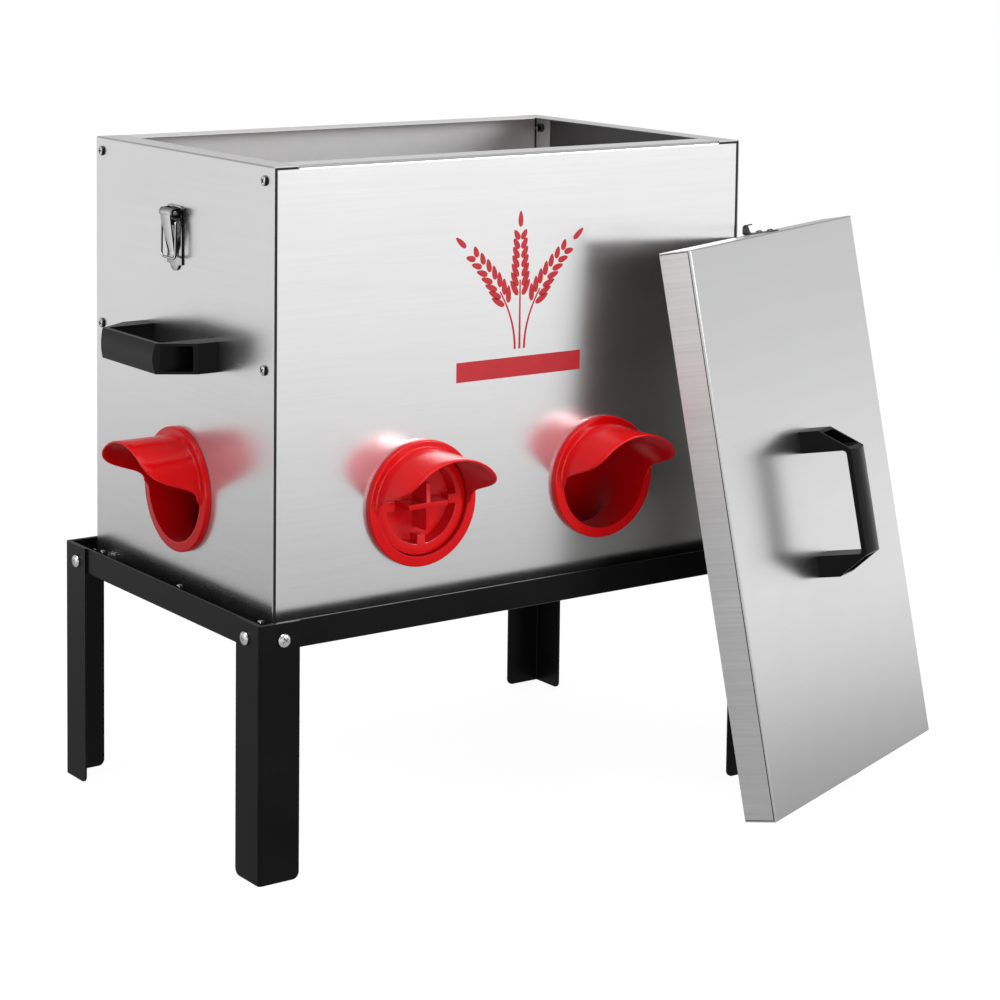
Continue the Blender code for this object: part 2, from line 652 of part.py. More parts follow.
def latch_bail():
    """Wire loop, open inside the sleeve, its lower end leaning away from the hopper."""
    top_y, low_y = BAIL_HALF - BAIL_TOP_R, BAIL_HALF - BAIL_LOW_R
    low_z = -BAIL_L + BAIL_LOW_R
    path = [(-BAIL_END, 0.0)]
    path += arc(-top_y, -BAIL_TOP_R, BAIL_TOP_R, 90, 180, 3)
    path += arc(-low_y, low_z, BAIL_LOW_R, 180, 270, 4)
    path += arc(low_y, low_z, BAIL_LOW_R, 270, 360, 4)
    path += arc(top_y, -BAIL_TOP_R, BAIL_TOP_R, 0, 90, 3)
    path += [(BAIL_END, 0.0)]
    curve = bpy.data.curves.new("bail", "CURVE")
    curve.dimensions = "3D"
    curve.bevel_depth = WIRE_R * MM
    curve.bevel_resolution = 2
    curve.use_fill_caps = True
    points = [(PIN_X + BAIL_LEAN * z / BAIL_L, LATCH_Y + y, BAIL_Z + z) for y, z in path]
    add_spline(curve, points, closed=False)
    return curve_mesh(curve, smooth=True), [], []


def handed(mesh, sign):
    """Mirrors a left-hand mesh when it is for the right-hand side."""
    return baked(mesh, Matrix.Diagonal((-1, 1, 1, 1))) if sign > 0 else mesh


LATCH_PIECES = {"base": latch_base, "pin": latch_pin, "lever": latch_lever, "bail": latch_bail}
for side, sign in SIDES.items():
    for piece, make in LATCH_PIECES.items():
        body, joined, bores = make()
        obj = keep(f"{side}_latch_{piece}", handed(body, sign), "zinc")
        join(obj, [handed(mesh, sign) for mesh in joined])
        cut(obj, [handed(mesh, sign) for mesh in bores])


# ---------------------------------------------------------------- lid
def lid_panel():
    """Skirted sheet: a box without its underside, thickened inward."""
    bm = bmesh.new()
    add_box(bm, (0, 0, -LID_H), (LID_L, LID_D, 0))
    rims = [e for e in bm.edges if all(abs(vert.co.z) < 1e-6 for vert in e.verts)]
    bmesh.ops.bevel(
        bm, geom=rims, offset=LID_EDGE * MM, segments=2, profile=0.5, affect="EDGES"
    )
    bmesh.ops.recalc_face_normals(bm, faces=bm.faces)
    underside = [face for face in bm.faces if face.normal.z < -0.9]
    bmesh.ops.delete(bm, geom=underside, context="FACES_ONLY")
    mesh = bpy.data.meshes.new("lid_panel")
    bm.to_mesh(mesh)
    bm.free()
    step = keep("lid_panel", mesh, "steel", LID).modifiers.new("sheet", "SOLIDIFY")
    step.thickness = SHEET * MM
    step.offset = -1.0
    step.use_even_offset = True


def thickened(line, thickness):
    """Closed outline of a strip that follows a line, mitred at its corners."""
    points = [Vector(point) for point in line]
    steps = [(b - a).normalized() for a, b in zip(points, points[1:])]
    left, right = [], []
    for point, before, after in zip(points, steps[:1] + steps, steps + steps[-1:]):
        along = (before + after).normalized()
        width = thickness / 2 / max(0.5, math.cos(before.angle(after) / 2))
        offset = Vector((-along.y, along.x)) * width
        left.append(tuple(point + offset))
        right.append(tuple(point - offset))
    return left + right[::-1]


def lid_keeper(name, edge_x, sign):
    """Hooked strip on a short side of the lid, turned up below the skirt."""
    r, bend_z = KEEPER_BEND_R, -LID_H - KEEPER_BEND_DOWN
    line = [(0.0, -KEEPER_TOP)]
    line += arc(r, bend_z, r, 180, 270, 3)
    line += arc(KEEPER_BEND_X, bend_z, r, 270, 360, 3)
    line += [(KEEPER_BEND_X + r, -LID_H + KEEPER_LIP)]
    hook = plate_mesh(KEEPER_W, thickened(line, KEEPER_T))
    start = edge_x + sign * (GAP + KEEPER_T / 2)
    keep(name, hook, "zinc", LID @ frame((start, KEEPER_Y, 0), (sign, 0, 0), ALONG_Z))


lid_panel()
handle("lid_handle", LID @ frame((LID_L / 2, LID_D / 2, GAP), ALONG_X, ALONG_Z))
lid_keeper("upper_lid_keeper", 0.0, -1)
lid_keeper("lower_lid_keeper", LID_L, 1)


# ---------------------------------------------------------------- frame and pivots
def empty(name, point, parent=None):
    made = bpy.data.objects.new(name, None)
    made.empty_display_size = 0.02
    made.location = Vector(point) * MM
    made.parent = parent
    PARTS.objects.link(made)
    return made


def carried(pivot, point, *names):
    """Parents pieces to an empty at point, and leaves them where they are."""
    for name in names:
        obj = PARTS.objects[name]
        obj.parent = pivot
        obj.matrix_parent_inverse = Matrix.Translation(-Vector(point) * MM)


feeder_frame = empty("feeder_frame", (-MIDDLE_X, -MIDDLE_Y, 0.0))
for side, sign in SIDES.items():
    hinge = Vector((sign * LATCH_PIN_X, LATCH_Y, LATCH_PIN_Z))
    lower = hinge - Vector((0, 0, BAIL_DOWN))
    lever_pivot = empty(f"{side}_lever_pivot", hinge, feeder_frame)
    bail_pivot = empty(f"{side}_bail_pivot", lower - hinge, lever_pivot)
    carried(lever_pivot, hinge, f"{side}_latch_lever")
    carried(bail_pivot, lower, f"{side}_latch_bail")
carried(empty("plug_slide", PLUG_AT, feeder_frame), PLUG_AT, "feed_port_plug")
carried(
    empty("lid_slide", LID_CORNER, feeder_frame), LID_CORNER,
    "lid_panel", "lid_handle", "upper_lid_keeper", "lower_lid_keeper",
)
for obj in list(PARTS.objects) + list(CUTTERS.objects):
    if obj.parent is None and obj is not feeder_frame:
        obj.parent = feeder_frame
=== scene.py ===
import json
import math

import bmesh
import bpy
import numpy as np
from mathutils import Matrix, Vector

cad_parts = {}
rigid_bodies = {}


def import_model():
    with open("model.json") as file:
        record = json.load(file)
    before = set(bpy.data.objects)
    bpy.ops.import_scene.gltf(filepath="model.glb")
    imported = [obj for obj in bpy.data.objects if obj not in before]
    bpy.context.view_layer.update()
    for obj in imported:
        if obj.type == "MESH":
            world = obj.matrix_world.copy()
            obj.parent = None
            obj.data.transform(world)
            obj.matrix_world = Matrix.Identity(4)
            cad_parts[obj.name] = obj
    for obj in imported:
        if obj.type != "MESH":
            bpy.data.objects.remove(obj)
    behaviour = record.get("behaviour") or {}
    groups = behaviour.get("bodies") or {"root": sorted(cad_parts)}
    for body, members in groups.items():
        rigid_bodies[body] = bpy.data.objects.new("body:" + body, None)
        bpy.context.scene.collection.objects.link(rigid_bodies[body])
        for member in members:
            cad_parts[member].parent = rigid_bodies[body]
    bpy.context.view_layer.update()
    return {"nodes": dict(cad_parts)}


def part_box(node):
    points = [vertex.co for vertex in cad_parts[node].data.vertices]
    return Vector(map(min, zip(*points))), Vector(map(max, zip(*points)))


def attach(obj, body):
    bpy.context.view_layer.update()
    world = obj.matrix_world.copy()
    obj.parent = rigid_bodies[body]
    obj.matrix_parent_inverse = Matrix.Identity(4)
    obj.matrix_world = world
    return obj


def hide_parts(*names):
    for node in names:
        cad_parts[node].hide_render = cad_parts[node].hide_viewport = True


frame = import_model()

MM = 0.001
# every size below is measured from the point on the floor under the hopper's middle
_left, _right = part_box("left_side_panel"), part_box("right_side_panel")
MIDDLE = Matrix.Translation(((_left[0][0] + _right[1][0]) / 2, (_left[0][1] + _left[1][1]) / 2, 0.0))

# ------------------------------------------------------------------ sizes, mm
W, D, TOP, BOTTOM = 500.0, 314.0, 596.5, 198.1
SHEET, GAP = 1.0, 0.3
SIDE_RIM, END_RIM, NOTCH, RETURN = 24.5, 29.0, 24.5, 24.0
BEND = 3.4
LEG_X, LEG_Y, LEG_L, LEG_W, IRON = 273.0, 176.0, 220.0, 38.8, 1.8
RAIL_H = 24.0
BOLT_IN, BOLT_DOWN, BOLT_R = 23.0, 14.5, 3.0
PORT_Z, FRONT_PORTS = 299.5, (-102.7, 93.5)
FLANGE_R, FLANGE_T, MOUTH_R, NECK_R, NECK_L = 55.0, 6.0, 46.0, 49.4, 22.0
PORT_HOLE_R, ELBOW_R, ELBOW_DROP = 50.0, 56.0, 22.0
HOOD_WALL, HOOD_FLARE, HOOD_DROP = 2.0, 0.140, 0.145
HANDLE_L, HANDLE_W, HANDLE_H, SIDE_HANDLE_Z = 135.0, 26.5, 50.4, 426.0
HANDLE_CROWN, HANDLE_INNER, HANDLE_SHOULDER = 2.3, 45.4, 20.0
LATCH_Y, PIN_X, PIN_Z = 8.0, 256.8, 542.5
BAIL_DOWN, BAIL_L, BAIL_HALF, WIRE_R = 8.0, 31.5, 12.6, 1.1
LID_L, LID_D, LID_H, KEEPER_Y = 505.6, 320.4, 31.6, 168.0
LID = (
    Matrix.Translation(Vector((125.0, -238.7, 512.2)) * MM)
    @ Matrix.Rotation(math.radians(-68.9), 4, "Z")
    @ Matrix.Rotation(math.radians(78.9), 4, "Y")
)
SCREW_Y = {"front": -D / 2 + 14.0, "back": D / 2 - 11.0}
SCREW_Z = {"top": TOP - 12.5, "middle": 426.0}

# ------------------------------------------------------------------ materials


def tree_of(name):
    made = bpy.data.materials.new(name)
    made.use_nodes = True
    tree = made.node_tree
    return made, tree, tree.nodes["Principled BSDF"]


def node(tree, kind, **values):
    made = tree.nodes.new(kind)
    for key, value in values.items():
        if key in made.inputs:
            made.inputs[key].default_value = value
        else:
            setattr(made, key, value)
    return made


def coords(tree, scale, rotation=(0, 0, 0)):
    source = node(tree, "ShaderNodeTexCoord")
    mapping = node(tree, "ShaderNodeMapping")
    mapping.inputs["Scale"].default_value = scale
    mapping.inputs["Rotation"].default_value = rotation
    tree.links.new(source.outputs["Object"], mapping.inputs["Vector"])
    return mapping.outputs["Vector"]


def noise(tree, vector, scale, detail=4.0, rough=0.55):
    made = node(tree, "ShaderNodeTexNoise", Scale=scale, Detail=detail, Roughness=rough)
    tree.links.new(vector, made.inputs["Vector"])
    return made.outputs["Fac"]


def ramp(tree, value, low, high, a=0.0, b=1.0):
    made = node(tree, "ShaderNodeMapRange")
    made.inputs["From Min"].default_value = a
    made.inputs["From Max"].default_value = b
    made.inputs["To Min"].default_value = low
    made.inputs["To Max"].default_value = high
    tree.links.new(value, made.inputs["Value"])
    return made.outputs["Result"]


def maths(tree, how, a, b):
    made = node(tree, "ShaderNodeMath", operation=how)
    for i, value in enumerate((a, b)):
        if isinstance(value, (int, float)):
            made.inputs[i].default_value = value
        else:
            tree.links.new(value, made.inputs[i])
    return made.outputs[0]


def mixed(tree, factor, a, b):
    made = node(tree, "ShaderNodeMix", data_type="RGBA")
    tree.links.new(factor, made.inputs[0])
    for slot, value in ((6, a), (7, b)):
        if isinstance(value, tuple):
            made.inputs[slot].default_value = (*value, 1.0)
        else:
            tree.links.new(value, made.inputs[slot])
    return made.outputs[2]


def edge_mask(tree, radius, low=0.02, high=0.25):
    """About 1 on a sharp edge and 0 on a flat, from how far a bevelled normal leans from the true one."""
    bevel = node(tree, "ShaderNodeBevel", Radius=radius)
    bevel.samples = 4
    shape = node(tree, "ShaderNodeNewGeometry")
    dot = node(tree, "ShaderNodeVectorMath", operation="DOT_PRODUCT")
    tree.links.new(bevel.outputs["Normal"], dot.inputs[0])
    tree.links.new(shape.outputs["Normal"], dot.inputs[1])
    return ramp(tree, maths(tree, "SUBTRACT", 1.0, dot.outputs["Value"]), 0.0, 1.0, low, high)


def bump(tree, shader, height, strength, distance):
    made = node(tree, "ShaderNodeBump", Strength=strength, Distance=distance)
    tree.links.new(height, made.inputs["Height"])
    tree.links.new(made.outputs["Normal"], shader.inputs["Normal"])


def brushed(name, stretch, base=(0.795, 0.795, 0.798), rough=0.235, rotation=(0, 0, 0), grain=1.0, relief=1.0, skirts=False, inside=None):
    """Satin sheet steel, brushed along the axis with the small stretch. With skirts, only faces across Z are brushed.

    inside is (metallic, roughness, inner_light_shade_tone) for faces that look towards the hopper's middle, or down for
    a lid. That tone is painted light and shade: a lighter one paints light, a darker one paints shade.
    """
    made, tree, shader = tree_of(name)
    fine = noise(tree, coords(tree, stretch, rotation), 1.0, 3.0, 0.6)
    coarse = noise(tree, coords(tree, tuple(s * 0.22 for s in stretch), rotation), 1.0, 2.0, 0.5)
    cloud = noise(tree, coords(tree, (1, 1, 1)), 5.0, 3.0, 0.5)
    smear = noise(tree, coords(tree, (1, 1, 1)), 24.0, 5.0, 0.6)
    both = maths(tree, "ADD", maths(tree, "MULTIPLY", fine, 0.65), maths(tree, "MULTIPLY", coarse, 0.35))
    if skirts:
        facing = node(tree, "ShaderNodeTexCoord")
        parts = node(tree, "ShaderNodeSeparateXYZ")
        tree.links.new(facing.outputs["Normal"], parts.inputs[0])
        across = ramp(tree, maths(tree, "ABSOLUTE", parts.outputs["Z"], 0.0), 1.0, 0.12, 0.3, 0.8)
        both = maths(tree, "ADD", maths(tree, "MULTIPLY", maths(tree, "SUBTRACT", both, 0.5), across), 0.5)
        cloud = maths(tree, "ADD", maths(tree, "MULTIPLY", maths(tree, "SUBTRACT", cloud, 0.5), 0.15), 0.5)
    tone = maths(tree, "ADD", maths(tree, "MULTIPLY", both, 0.7), maths(tree, "MULTIPLY", cloud, 0.3))
    deep = 0.035 * grain
    dark = tuple(c * (1.0 - deep) for c in base)
    light = tuple(min(1.0, c * (1.0 + deep * 0.8)) for c in base)
    colour = mixed(tree, ramp(tree, tone, 0.0, 1.0, 0.3, 0.7), dark, light)
    value = maths(tree, "ADD", ramp(tree, both, rough - 0.012, rough + 0.012, 0.3, 0.7), ramp(tree, smear, -0.012, 0.016, 0.3, 0.7))
    if skirts:
        value = maths(tree, "ADD", value, ramp(tree, across, 0.0, 0.13, 0.12, 1.0))
    shader.inputs["Metallic"].default_value = 1.0
    if inside:
        metallic, matte, inner_light_shade_tone = inside
        place = node(tree, "ShaderNodeTexCoord")
        if skirts:
            facing = node(tree, "ShaderNodeSeparateXYZ")
            tree.links.new(place.outputs["Normal"], facing.inputs[0])
            mask = ramp(tree, facing.outputs["Z"], 1.0, 0.0, -0.6, -0.4)
        else:
            level = node(tree, "ShaderNodeVectorMath", operation="MULTIPLY")
            level.inputs[1].default_value = (1.0, 1.0, 0.0)
            tree.links.new(place.outputs["Object"], level.inputs[0])
            toward = node(tree, "ShaderNodeVectorMath", operation="DOT_PRODUCT")
            tree.links.new(level.outputs[0], toward.inputs[0])
            tree.links.new(place.outputs["Normal"], toward.inputs[1])
            mask = ramp(tree, toward.outputs["Value"], 1.0, 0.0, -0.10, -0.06)
        # painted light and shade on the inner faces: their tone stands in for the light or shade inside the hopper and
        # under the lid
        colour = mixed(tree, mask, colour, mixed(tree, ramp(tree, smear, 0.0, 1.0, 0.3, 0.7), tuple(c * 0.95 for c in inner_light_shade_tone), inner_light_shade_tone))
        value = maths(tree, "ADD", value, maths(tree, "MULTIPLY", mask, matte - rough))
        tree.links.new(maths(tree, "SUBTRACT", 1.0, maths(tree, "MULTIPLY", mask, 1.0 - metallic)), shader.inputs["Metallic"])
    tree.links.new(colour, shader.inputs["Base Color"])
    tree.links.new(value, shader.inputs["Roughness"])
    if relief:
        bump(tree, shader, both, 0.012 * relief, 0.0001)
    return made


def powder(name, dark=(0.0030, 0.0030, 0.0033), light=(0.0055, 0.0055, 0.0058)):
    """Satin black powder coat with orange peel and lighter edges, partly rubbed wear and partly a painted highlight."""
    made, tree, shader = tree_of(name)
    peel = noise(tree, coords(tree, (1, 1, 1)), 620.0, 2.0, 0.5)
    cloud = noise(tree, coords(tree, (1, 1, 1)), 16.0, 4.0, 0.55)
    rub = noise(tree, coords(tree, (1, 1, 1)), 130.0, 4.0, 0.65)
    base = mixed(tree, ramp(tree, cloud, 0.0, 1.0, 0.3, 0.7), dark, light)
    # lighter edges: partly rubbed wear and partly a painted highlight along the edges
    wear_and_edge_highlight = maths(tree, "MULTIPLY", edge_mask(tree, 0.0005), ramp(tree, rub, 0.0, 0.75, 0.42, 0.72))
    tree.links.new(mixed(tree, wear_and_edge_highlight, base, (0.13, 0.13, 0.13)), shader.inputs["Base Color"])
    value = maths(tree, "ADD", ramp(tree, cloud, 0.30, 0.38, 0.3, 0.7), ramp(tree, peel, -0.02, 0.02, 0.3, 0.7))
    tree.links.new(value, shader.inputs["Roughness"])
    shader.inputs["Specular IOR Level"].default_value = 0.12
    bump(tree, shader, peel, 0.10, 0.0001)
    return made


def red_plastic(name):
    """Glossy moulded plastic, with faint flow clouds, fine handling marks, edges painted lighter as a highlight and a
    painted pale pink reflection.
    """
    made, tree, shader = tree_of(name)
    cloud = noise(tree, coords(tree, (1, 1, 1)), 14.0, 3.0, 0.5)
    peel = noise(tree, coords(tree, (1, 1, 1)), 420.0, 2.0, 0.5)
    marks = noise(tree, coords(tree, (220.0, 220.0, 18.0), (0.5, 0.3, 0.2)), 1.0, 4.0, 0.7)
    base = mixed(tree, ramp(tree, cloud, 0.0, 1.0, 0.3, 0.7), (0.405, 0.0006, 0.0020), (0.46, 0.0012, 0.0030))
    # painted highlight: sharp edges are painted a lighter red
    edge = edge_mask(tree, 0.0006)
    seen = mixed(tree, maths(tree, "MULTIPLY", edge, 0.22), base, (0.72, 0.015, 0.018))
    # painted reflection: in glossy rays the red is washed to pale pink, so its reflection in the steel looks pale
    painted_reflection = maths(tree, "MULTIPLY", node(tree, "ShaderNodeLightPath").outputs["Is Glossy Ray"], 0.5)
    tree.links.new(mixed(tree, painted_reflection, seen, (0.60, 0.27, 0.30)), shader.inputs["Base Color"])
    value = maths(tree, "ADD", ramp(tree, cloud, 0.17, 0.22, 0.3, 0.7), ramp(tree, marks, -0.015, 0.04, 0.45, 0.75))
    tree.links.new(value, shader.inputs["Roughness"])
    shader.inputs["IOR"].default_value = 1.5
    shader.inputs["Specular IOR Level"].default_value = 0.2
    shader.inputs["Subsurface Weight"].default_value = 0.02
    shader.inputs["Subsurface Radius"].default_value = (0.003, 0.0006, 0.0006)
    shader.inputs["Subsurface Scale"].default_value = 1.0
    bump(tree, shader, peel, 0.03, 0.0001)
    return made


def black_plastic(name):
    """Satin moulded plastic with a fine spark-eroded grain."""
    made, tree, shader = tree_of(name)
    grain = noise(tree, coords(tree, (1, 1, 1)), 950.0, 2.0, 0.6)
    cloud = noise(tree, coords(tree, (1, 1, 1)), 30.0, 4.0, 0.55)
    base = mixed(tree, ramp(tree, cloud, 0.0, 1.0, 0.3, 0.7), (0.0032, 0.0032, 0.0034), (0.0055, 0.0055, 0.0057))
    edge = maths(tree, "MULTIPLY", edge_mask(tree, 0.0008), ramp(tree, cloud, 0.15, 0.6, 0.35, 0.7))
    tree.links.new(mixed(tree, edge, base, (0.022, 0.022, 0.023)), shader.inputs["Base Color"])
    shader.inputs["Specular IOR Level"].default_value = 0.13
    value = maths(tree, "ADD", ramp(tree, cloud, 0.28, 0.35, 0.3, 0.7), ramp(tree, grain, -0.03, 0.03, 0.3, 0.7))
    tree.links.new(value, shader.inputs["Roughness"])
    bump(tree, shader, grain, 0.09, 0.0001)
    return made


def zinc(name, rough=0.14, base=(0.78, 0.78, 0.79), turn=None, front=None):
    """Bright plated steel with fine scratches and a faint haze.

    turn is the tone where a face turns away, a painted dark reflection, and where that starts and ends. front is the
    tone of faces that look to the front, painted shade from a dark reflection, and where that starts and ends.
    """
    made, tree, shader = tree_of(name)
    haze = noise(tree, coords(tree, (1, 1, 1)), 90.0, 4.0, 0.6)
    lines = noise(tree, coords(tree, (1500.0, 1500.0, 60.0), (0.4, 0.2, 0.0)), 1.0, 3.0, 0.6)
    colour = mixed(tree, ramp(tree, haze, 0.0, 1.0, 0.3, 0.7), tuple(c * 0.93 for c in base), base)
    # painted dark reflection: faces turning away from the view are painted towards the turn tone
    if turn:
        tone, near, far_off = turn
        away = node(tree, "ShaderNodeLayerWeight")
        away.inputs["Blend"].default_value = 0.5
        colour = mixed(tree, ramp(tree, away.outputs["Facing"], 0.0, 1.0, near, far_off), colour, (tone, tone, tone))
    # painted shade: faces looking to the front are painted towards the front tone
    if front:
        tone, near, far_off = front
        facing = node(tree, "ShaderNodeSeparateXYZ")
        tree.links.new(node(tree, "ShaderNodeNewGeometry").outputs["Normal"], facing.inputs[0])
        ahead = maths(tree, "MULTIPLY", facing.outputs["Y"], -1.0)
        colour = mixed(tree, ramp(tree, ahead, 0.0, 1.0, near, far_off), colour, (tone, tone, tone))
    tree.links.new(colour, shader.inputs["Base Color"])
    value = maths(tree, "ADD", ramp(tree, haze, rough - 0.03, rough + 0.05, 0.3, 0.7), ramp(tree, lines, -0.01, 0.06, 0.4, 0.7))
    tree.links.new(value, shader.inputs["Roughness"])
    shader.inputs["Metallic"].default_value = 1.0
    bump(tree, shader, lines, 0.06, 0.0001)
    return made


def printed(name, colour):
    """Screen-printed ink, slightly uneven."""
    made, tree, shader = tree_of(name)
    cloud = noise(tree, coords(tree, (1, 1, 1)), 70.0, 5.0, 0.6)
    speck = noise(tree, coords(tree, (1, 1, 1)), 900.0, 2.0, 0.5)
    tree.links.new(
        mixed(tree, ramp(tree, cloud, 0.0, 1.0, 0.3, 0.7), tuple(c * 0.88 for c in colour), colour), shader.inputs["Base Color"]
    )
    tree.links.new(ramp(tree, speck, 0.36, 0.5, 0.3, 0.7), shader.inputs["Roughness"])
    bump(tree, shader, speck, 0.05, 0.00005)
    return made


MAT = {
    # inside tones are painted light and shade: lighter and less metallic on the front and back panels' inner faces,
    # dark on the side panels' inner faces and under the lid
    "front": brushed("steel_front", (7.0, 420.0, 420.0), grain=1.0, relief=0.6, inside=(0.45, 0.5, (0.86, 0.875, 0.875))),
    # the side steel's darker base is painted shade on the same steel as the front
    "side": brushed("steel_side", (420.0, 7.0, 420.0), base=(0.645, 0.645, 0.645), rough=0.25, grain=1.0, relief=0.6, inside=(1.0, 0.3, (0.17, 0.17, 0.17))),
    "floor": brushed("steel_floor", (9.0, 600.0, 900.0), rough=0.34),
    "lid": brushed("steel_lid", (330.0, 5.0, 5.0), base=(0.68, 0.68, 0.682), rough=0.25, grain=5.0, relief=0.0, skirts=True, inside=(1.0, 0.3, (0.36, 0.355, 0.345))),
    "iron": powder("black_powder_coat_look"),
    "red": red_plastic("red_plastic_look"),
    "black": black_plastic("black_plastic_look"),
    "zinc": zinc("bright_zinc_look", turn=(0.03, 0.45, 0.85)),
    "chrome": zinc("latch_chrome_look", 0.08, (0.74, 0.74, 0.75), turn=(0.012, 0.42, 0.80), front=(0.015, 0.45, 0.80)),
    # painted dark reflection: the plate look's darker base and its turn and front tones paint the dark reflections on
    # the latch base
    "plate": zinc("latch_plate_look", 0.12, (0.50, 0.50, 0.505), turn=(0.006, 0.46, 0.80), front=(0.006, 0.35, 0.75)),
    "screw": zinc("side_screw_look", turn=(0.03, 0.50, 0.85), front=(0.02, 0.18, 0.55)),
    # the seam look's dark tones are painted shadow for the gap strips and lid lines
    "seam": powder("seam_shadow_look", (0.022, 0.022, 0.023), (0.034, 0.034, 0.035)),
    # painted dark reflection: the claw look's dark base paints the dark reflections on the pins, keepers and nuts that
    # use it
    "claw": zinc("keeper_zinc_look", 0.2, (0.16, 0.16, 0.165), turn=(0.02, 0.22, 0.62)),
    "ink": printed("red_ink_look", (0.58, 0.010, 0.020)),
}

# ------------------------------------------------------------------ modelling helpers


def mesh_of(bm, name):
    bmesh.ops.remove_doubles(bm, verts=bm.verts, dist=1e-7)
    bmesh.ops.recalc_face_normals(bm, faces=bm.faces)
    mesh = bpy.data.meshes.new(name)
    bm.to_mesh(mesh)
    bm.free()
    return mesh


def box_mesh(low, high, name="box"):
    low, high = np.array(low, float) * MM, np.array(high, float) * MM
    bm = bmesh.new()
    place = Matrix.Translation(Vector((low + high) / 2)) @ Matrix.Diagonal((*(high - low), 1.0))
    bmesh.ops.create_cube(bm, size=1.0, matrix=place)
    return mesh_of(bm, name)


def rod_mesh(start, end, radius, segments=32, radius_end=None):
    a, b = Vector(start) * MM, Vector(end) * MM
    bm = bmesh.new()
    place = Matrix.Translation((a + b) / 2) @ (b - a).to_track_quat("Z", "Y").to_matrix().to_4x4()
    bmesh.ops.create_cone(
        bm, cap_ends=True, segments=segments, radius1=radius * MM,
        radius2=(radius if radius_end is None else radius_end) * MM, depth=(b - a).length, matrix=place,
    )
    return mesh_of(bm, "rod")


def lathe_mesh(profile, segments=48):
    """A turned solid about Z from (radius, height) points, open at the axis if both ends touch it."""
    bm = bmesh.new()
    points = [bm.verts.new((r * MM, 0, z * MM)) for r, z in profile]
    closed = not (profile[0][0] == 0 and profile[-1][0] == 0)
    count = len(points) if closed else len(points) - 1
    edges = [bm.edges.new((points[i], points[(i + 1) % len(points)])) for i in range(count)]
    bmesh.ops.spin(
        bm, geom=points + edges, cent=(0, 0, 0), axis=(0, 0, 1), angle=2 * math.pi, steps=segments, use_merge=True
    )
    return mesh_of(bm, "lathe")


def outline_mesh(outlines, thickness):
    """A flat plate in the XY plane from closed outlines in mm, centred on Z = 0. Later outlines are holes."""
    curve = bpy.data.curves.new("outline", "CURVE")
    curve.dimensions = "2D"
    curve.fill_mode = "BOTH"
    curve.extrude = thickness * MM / 2
    for points in outlines:
        spline = curve.splines.new("POLY")
        spline.points.add(len(points) - 1)
        for target, (x, y) in zip(spline.points, points):
            target.co = (x * MM, y * MM, 0.0, 1.0)
        spline.use_cyclic_u = True
    return curve_to_mesh(curve)


def curve_to_mesh(curve):
    holder = bpy.data.objects.new("holder", curve)
    bpy.context.scene.collection.objects.link(holder)
    bpy.context.view_layer.update()
    made = bpy.data.meshes.new_from_object(holder.evaluated_get(bpy.context.evaluated_depsgraph_get()))
    bpy.data.objects.remove(holder)
    bpy.data.curves.remove(curve)
    bm = bmesh.new()
    bm.from_mesh(made)
    bpy.data.meshes.remove(made)
    return mesh_of(bm, "plate")


def arc(cx, cy, radius, start, end, steps):
    return [
        (cx + radius * math.cos(math.radians(a)), cy + radius * math.sin(math.radians(a)))
        for a in np.linspace(start, end, steps + 1)
    ]


def ring_points(radius, count):
    return [(radius * math.cos(2 * math.pi * i / count), radius * math.sin(2 * math.pi * i / count)) for i in range(count)]


def axes(origin, x_dir, y_dir):
    x, y = Vector(x_dir).normalized(), Vector(y_dir).normalized()
    return Matrix.Translation(Vector(origin) * MM) @ Matrix((x, y, x.cross(y))).transposed().to_4x4()


def baked(mesh, matrix):
    mesh.transform(matrix)
    if matrix.determinant() < 0:
        mesh.flip_normals()
    return mesh


def flipped(mesh, s):
    """Mirrors a left-hand mesh to the right when s is +1."""
    return baked(mesh, Matrix.Diagonal((-1, 1, 1, 1))) if s > 0 else mesh


def smooth(mesh, angle=32):
    for face in mesh.polygons:
        face.use_smooth = True
    mesh.set_sharp_from_angle(angle=math.radians(angle))
    return mesh


def worked(mesh, cuts=(), joins=(), meets=(), bevel=None, angle=32, limit=35):
    """Runs Booleans and a bevel on a mesh and returns the result."""
    main = bpy.data.objects.new("work", mesh)
    bpy.context.scene.collection.objects.link(main)
    helpers = []
    for how, others in (("UNION", joins), ("INTERSECT", meets), ("DIFFERENCE", cuts)):
        for other in others:
            helper = bpy.data.objects.new("helper", other)
            bpy.context.scene.collection.objects.link(helper)
            helpers.append(helper)
            step = main.modifiers.new(how, "BOOLEAN")
            step.operation, step.solver, step.object = how, "EXACT", helper
    if bevel:
        step = main.modifiers.new("bevel", "BEVEL")
        step.width, step.segments = bevel[0] * MM, bevel[1]
        step.limit_method, step.angle_limit = "ANGLE", math.radians(limit)
        step.use_clamp_overlap = True
    bpy.context.view_layer.update()
    made = bpy.data.meshes.new_from_object(main.evaluated_get(bpy.context.evaluated_depsgraph_get()))
    for obj in helpers + [main]:
        bpy.data.objects.remove(obj)
    return smooth(made, angle)


def piece(name, mesh, look, body, replaces=(), matrix=None):
    obj = bpy.data.objects.new(name, mesh)
    bpy.context.scene.collection.objects.link(obj)
    obj.matrix_world = MIDDLE @ (matrix or Matrix.Identity(4))
    if not mesh.materials:
        mesh.materials.append(MAT[look])
    if look in ("front", "side", "lid", "iron", "black"):
        flat = obj.modifiers.new("flat_faces", "WEIGHTED_NORMAL")
        flat.weight, flat.keep_sharp = 100, True
    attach(obj, body)
    if replaces:
        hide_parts(*([replaces] if isinstance(replaces, str) else replaces))
    return obj


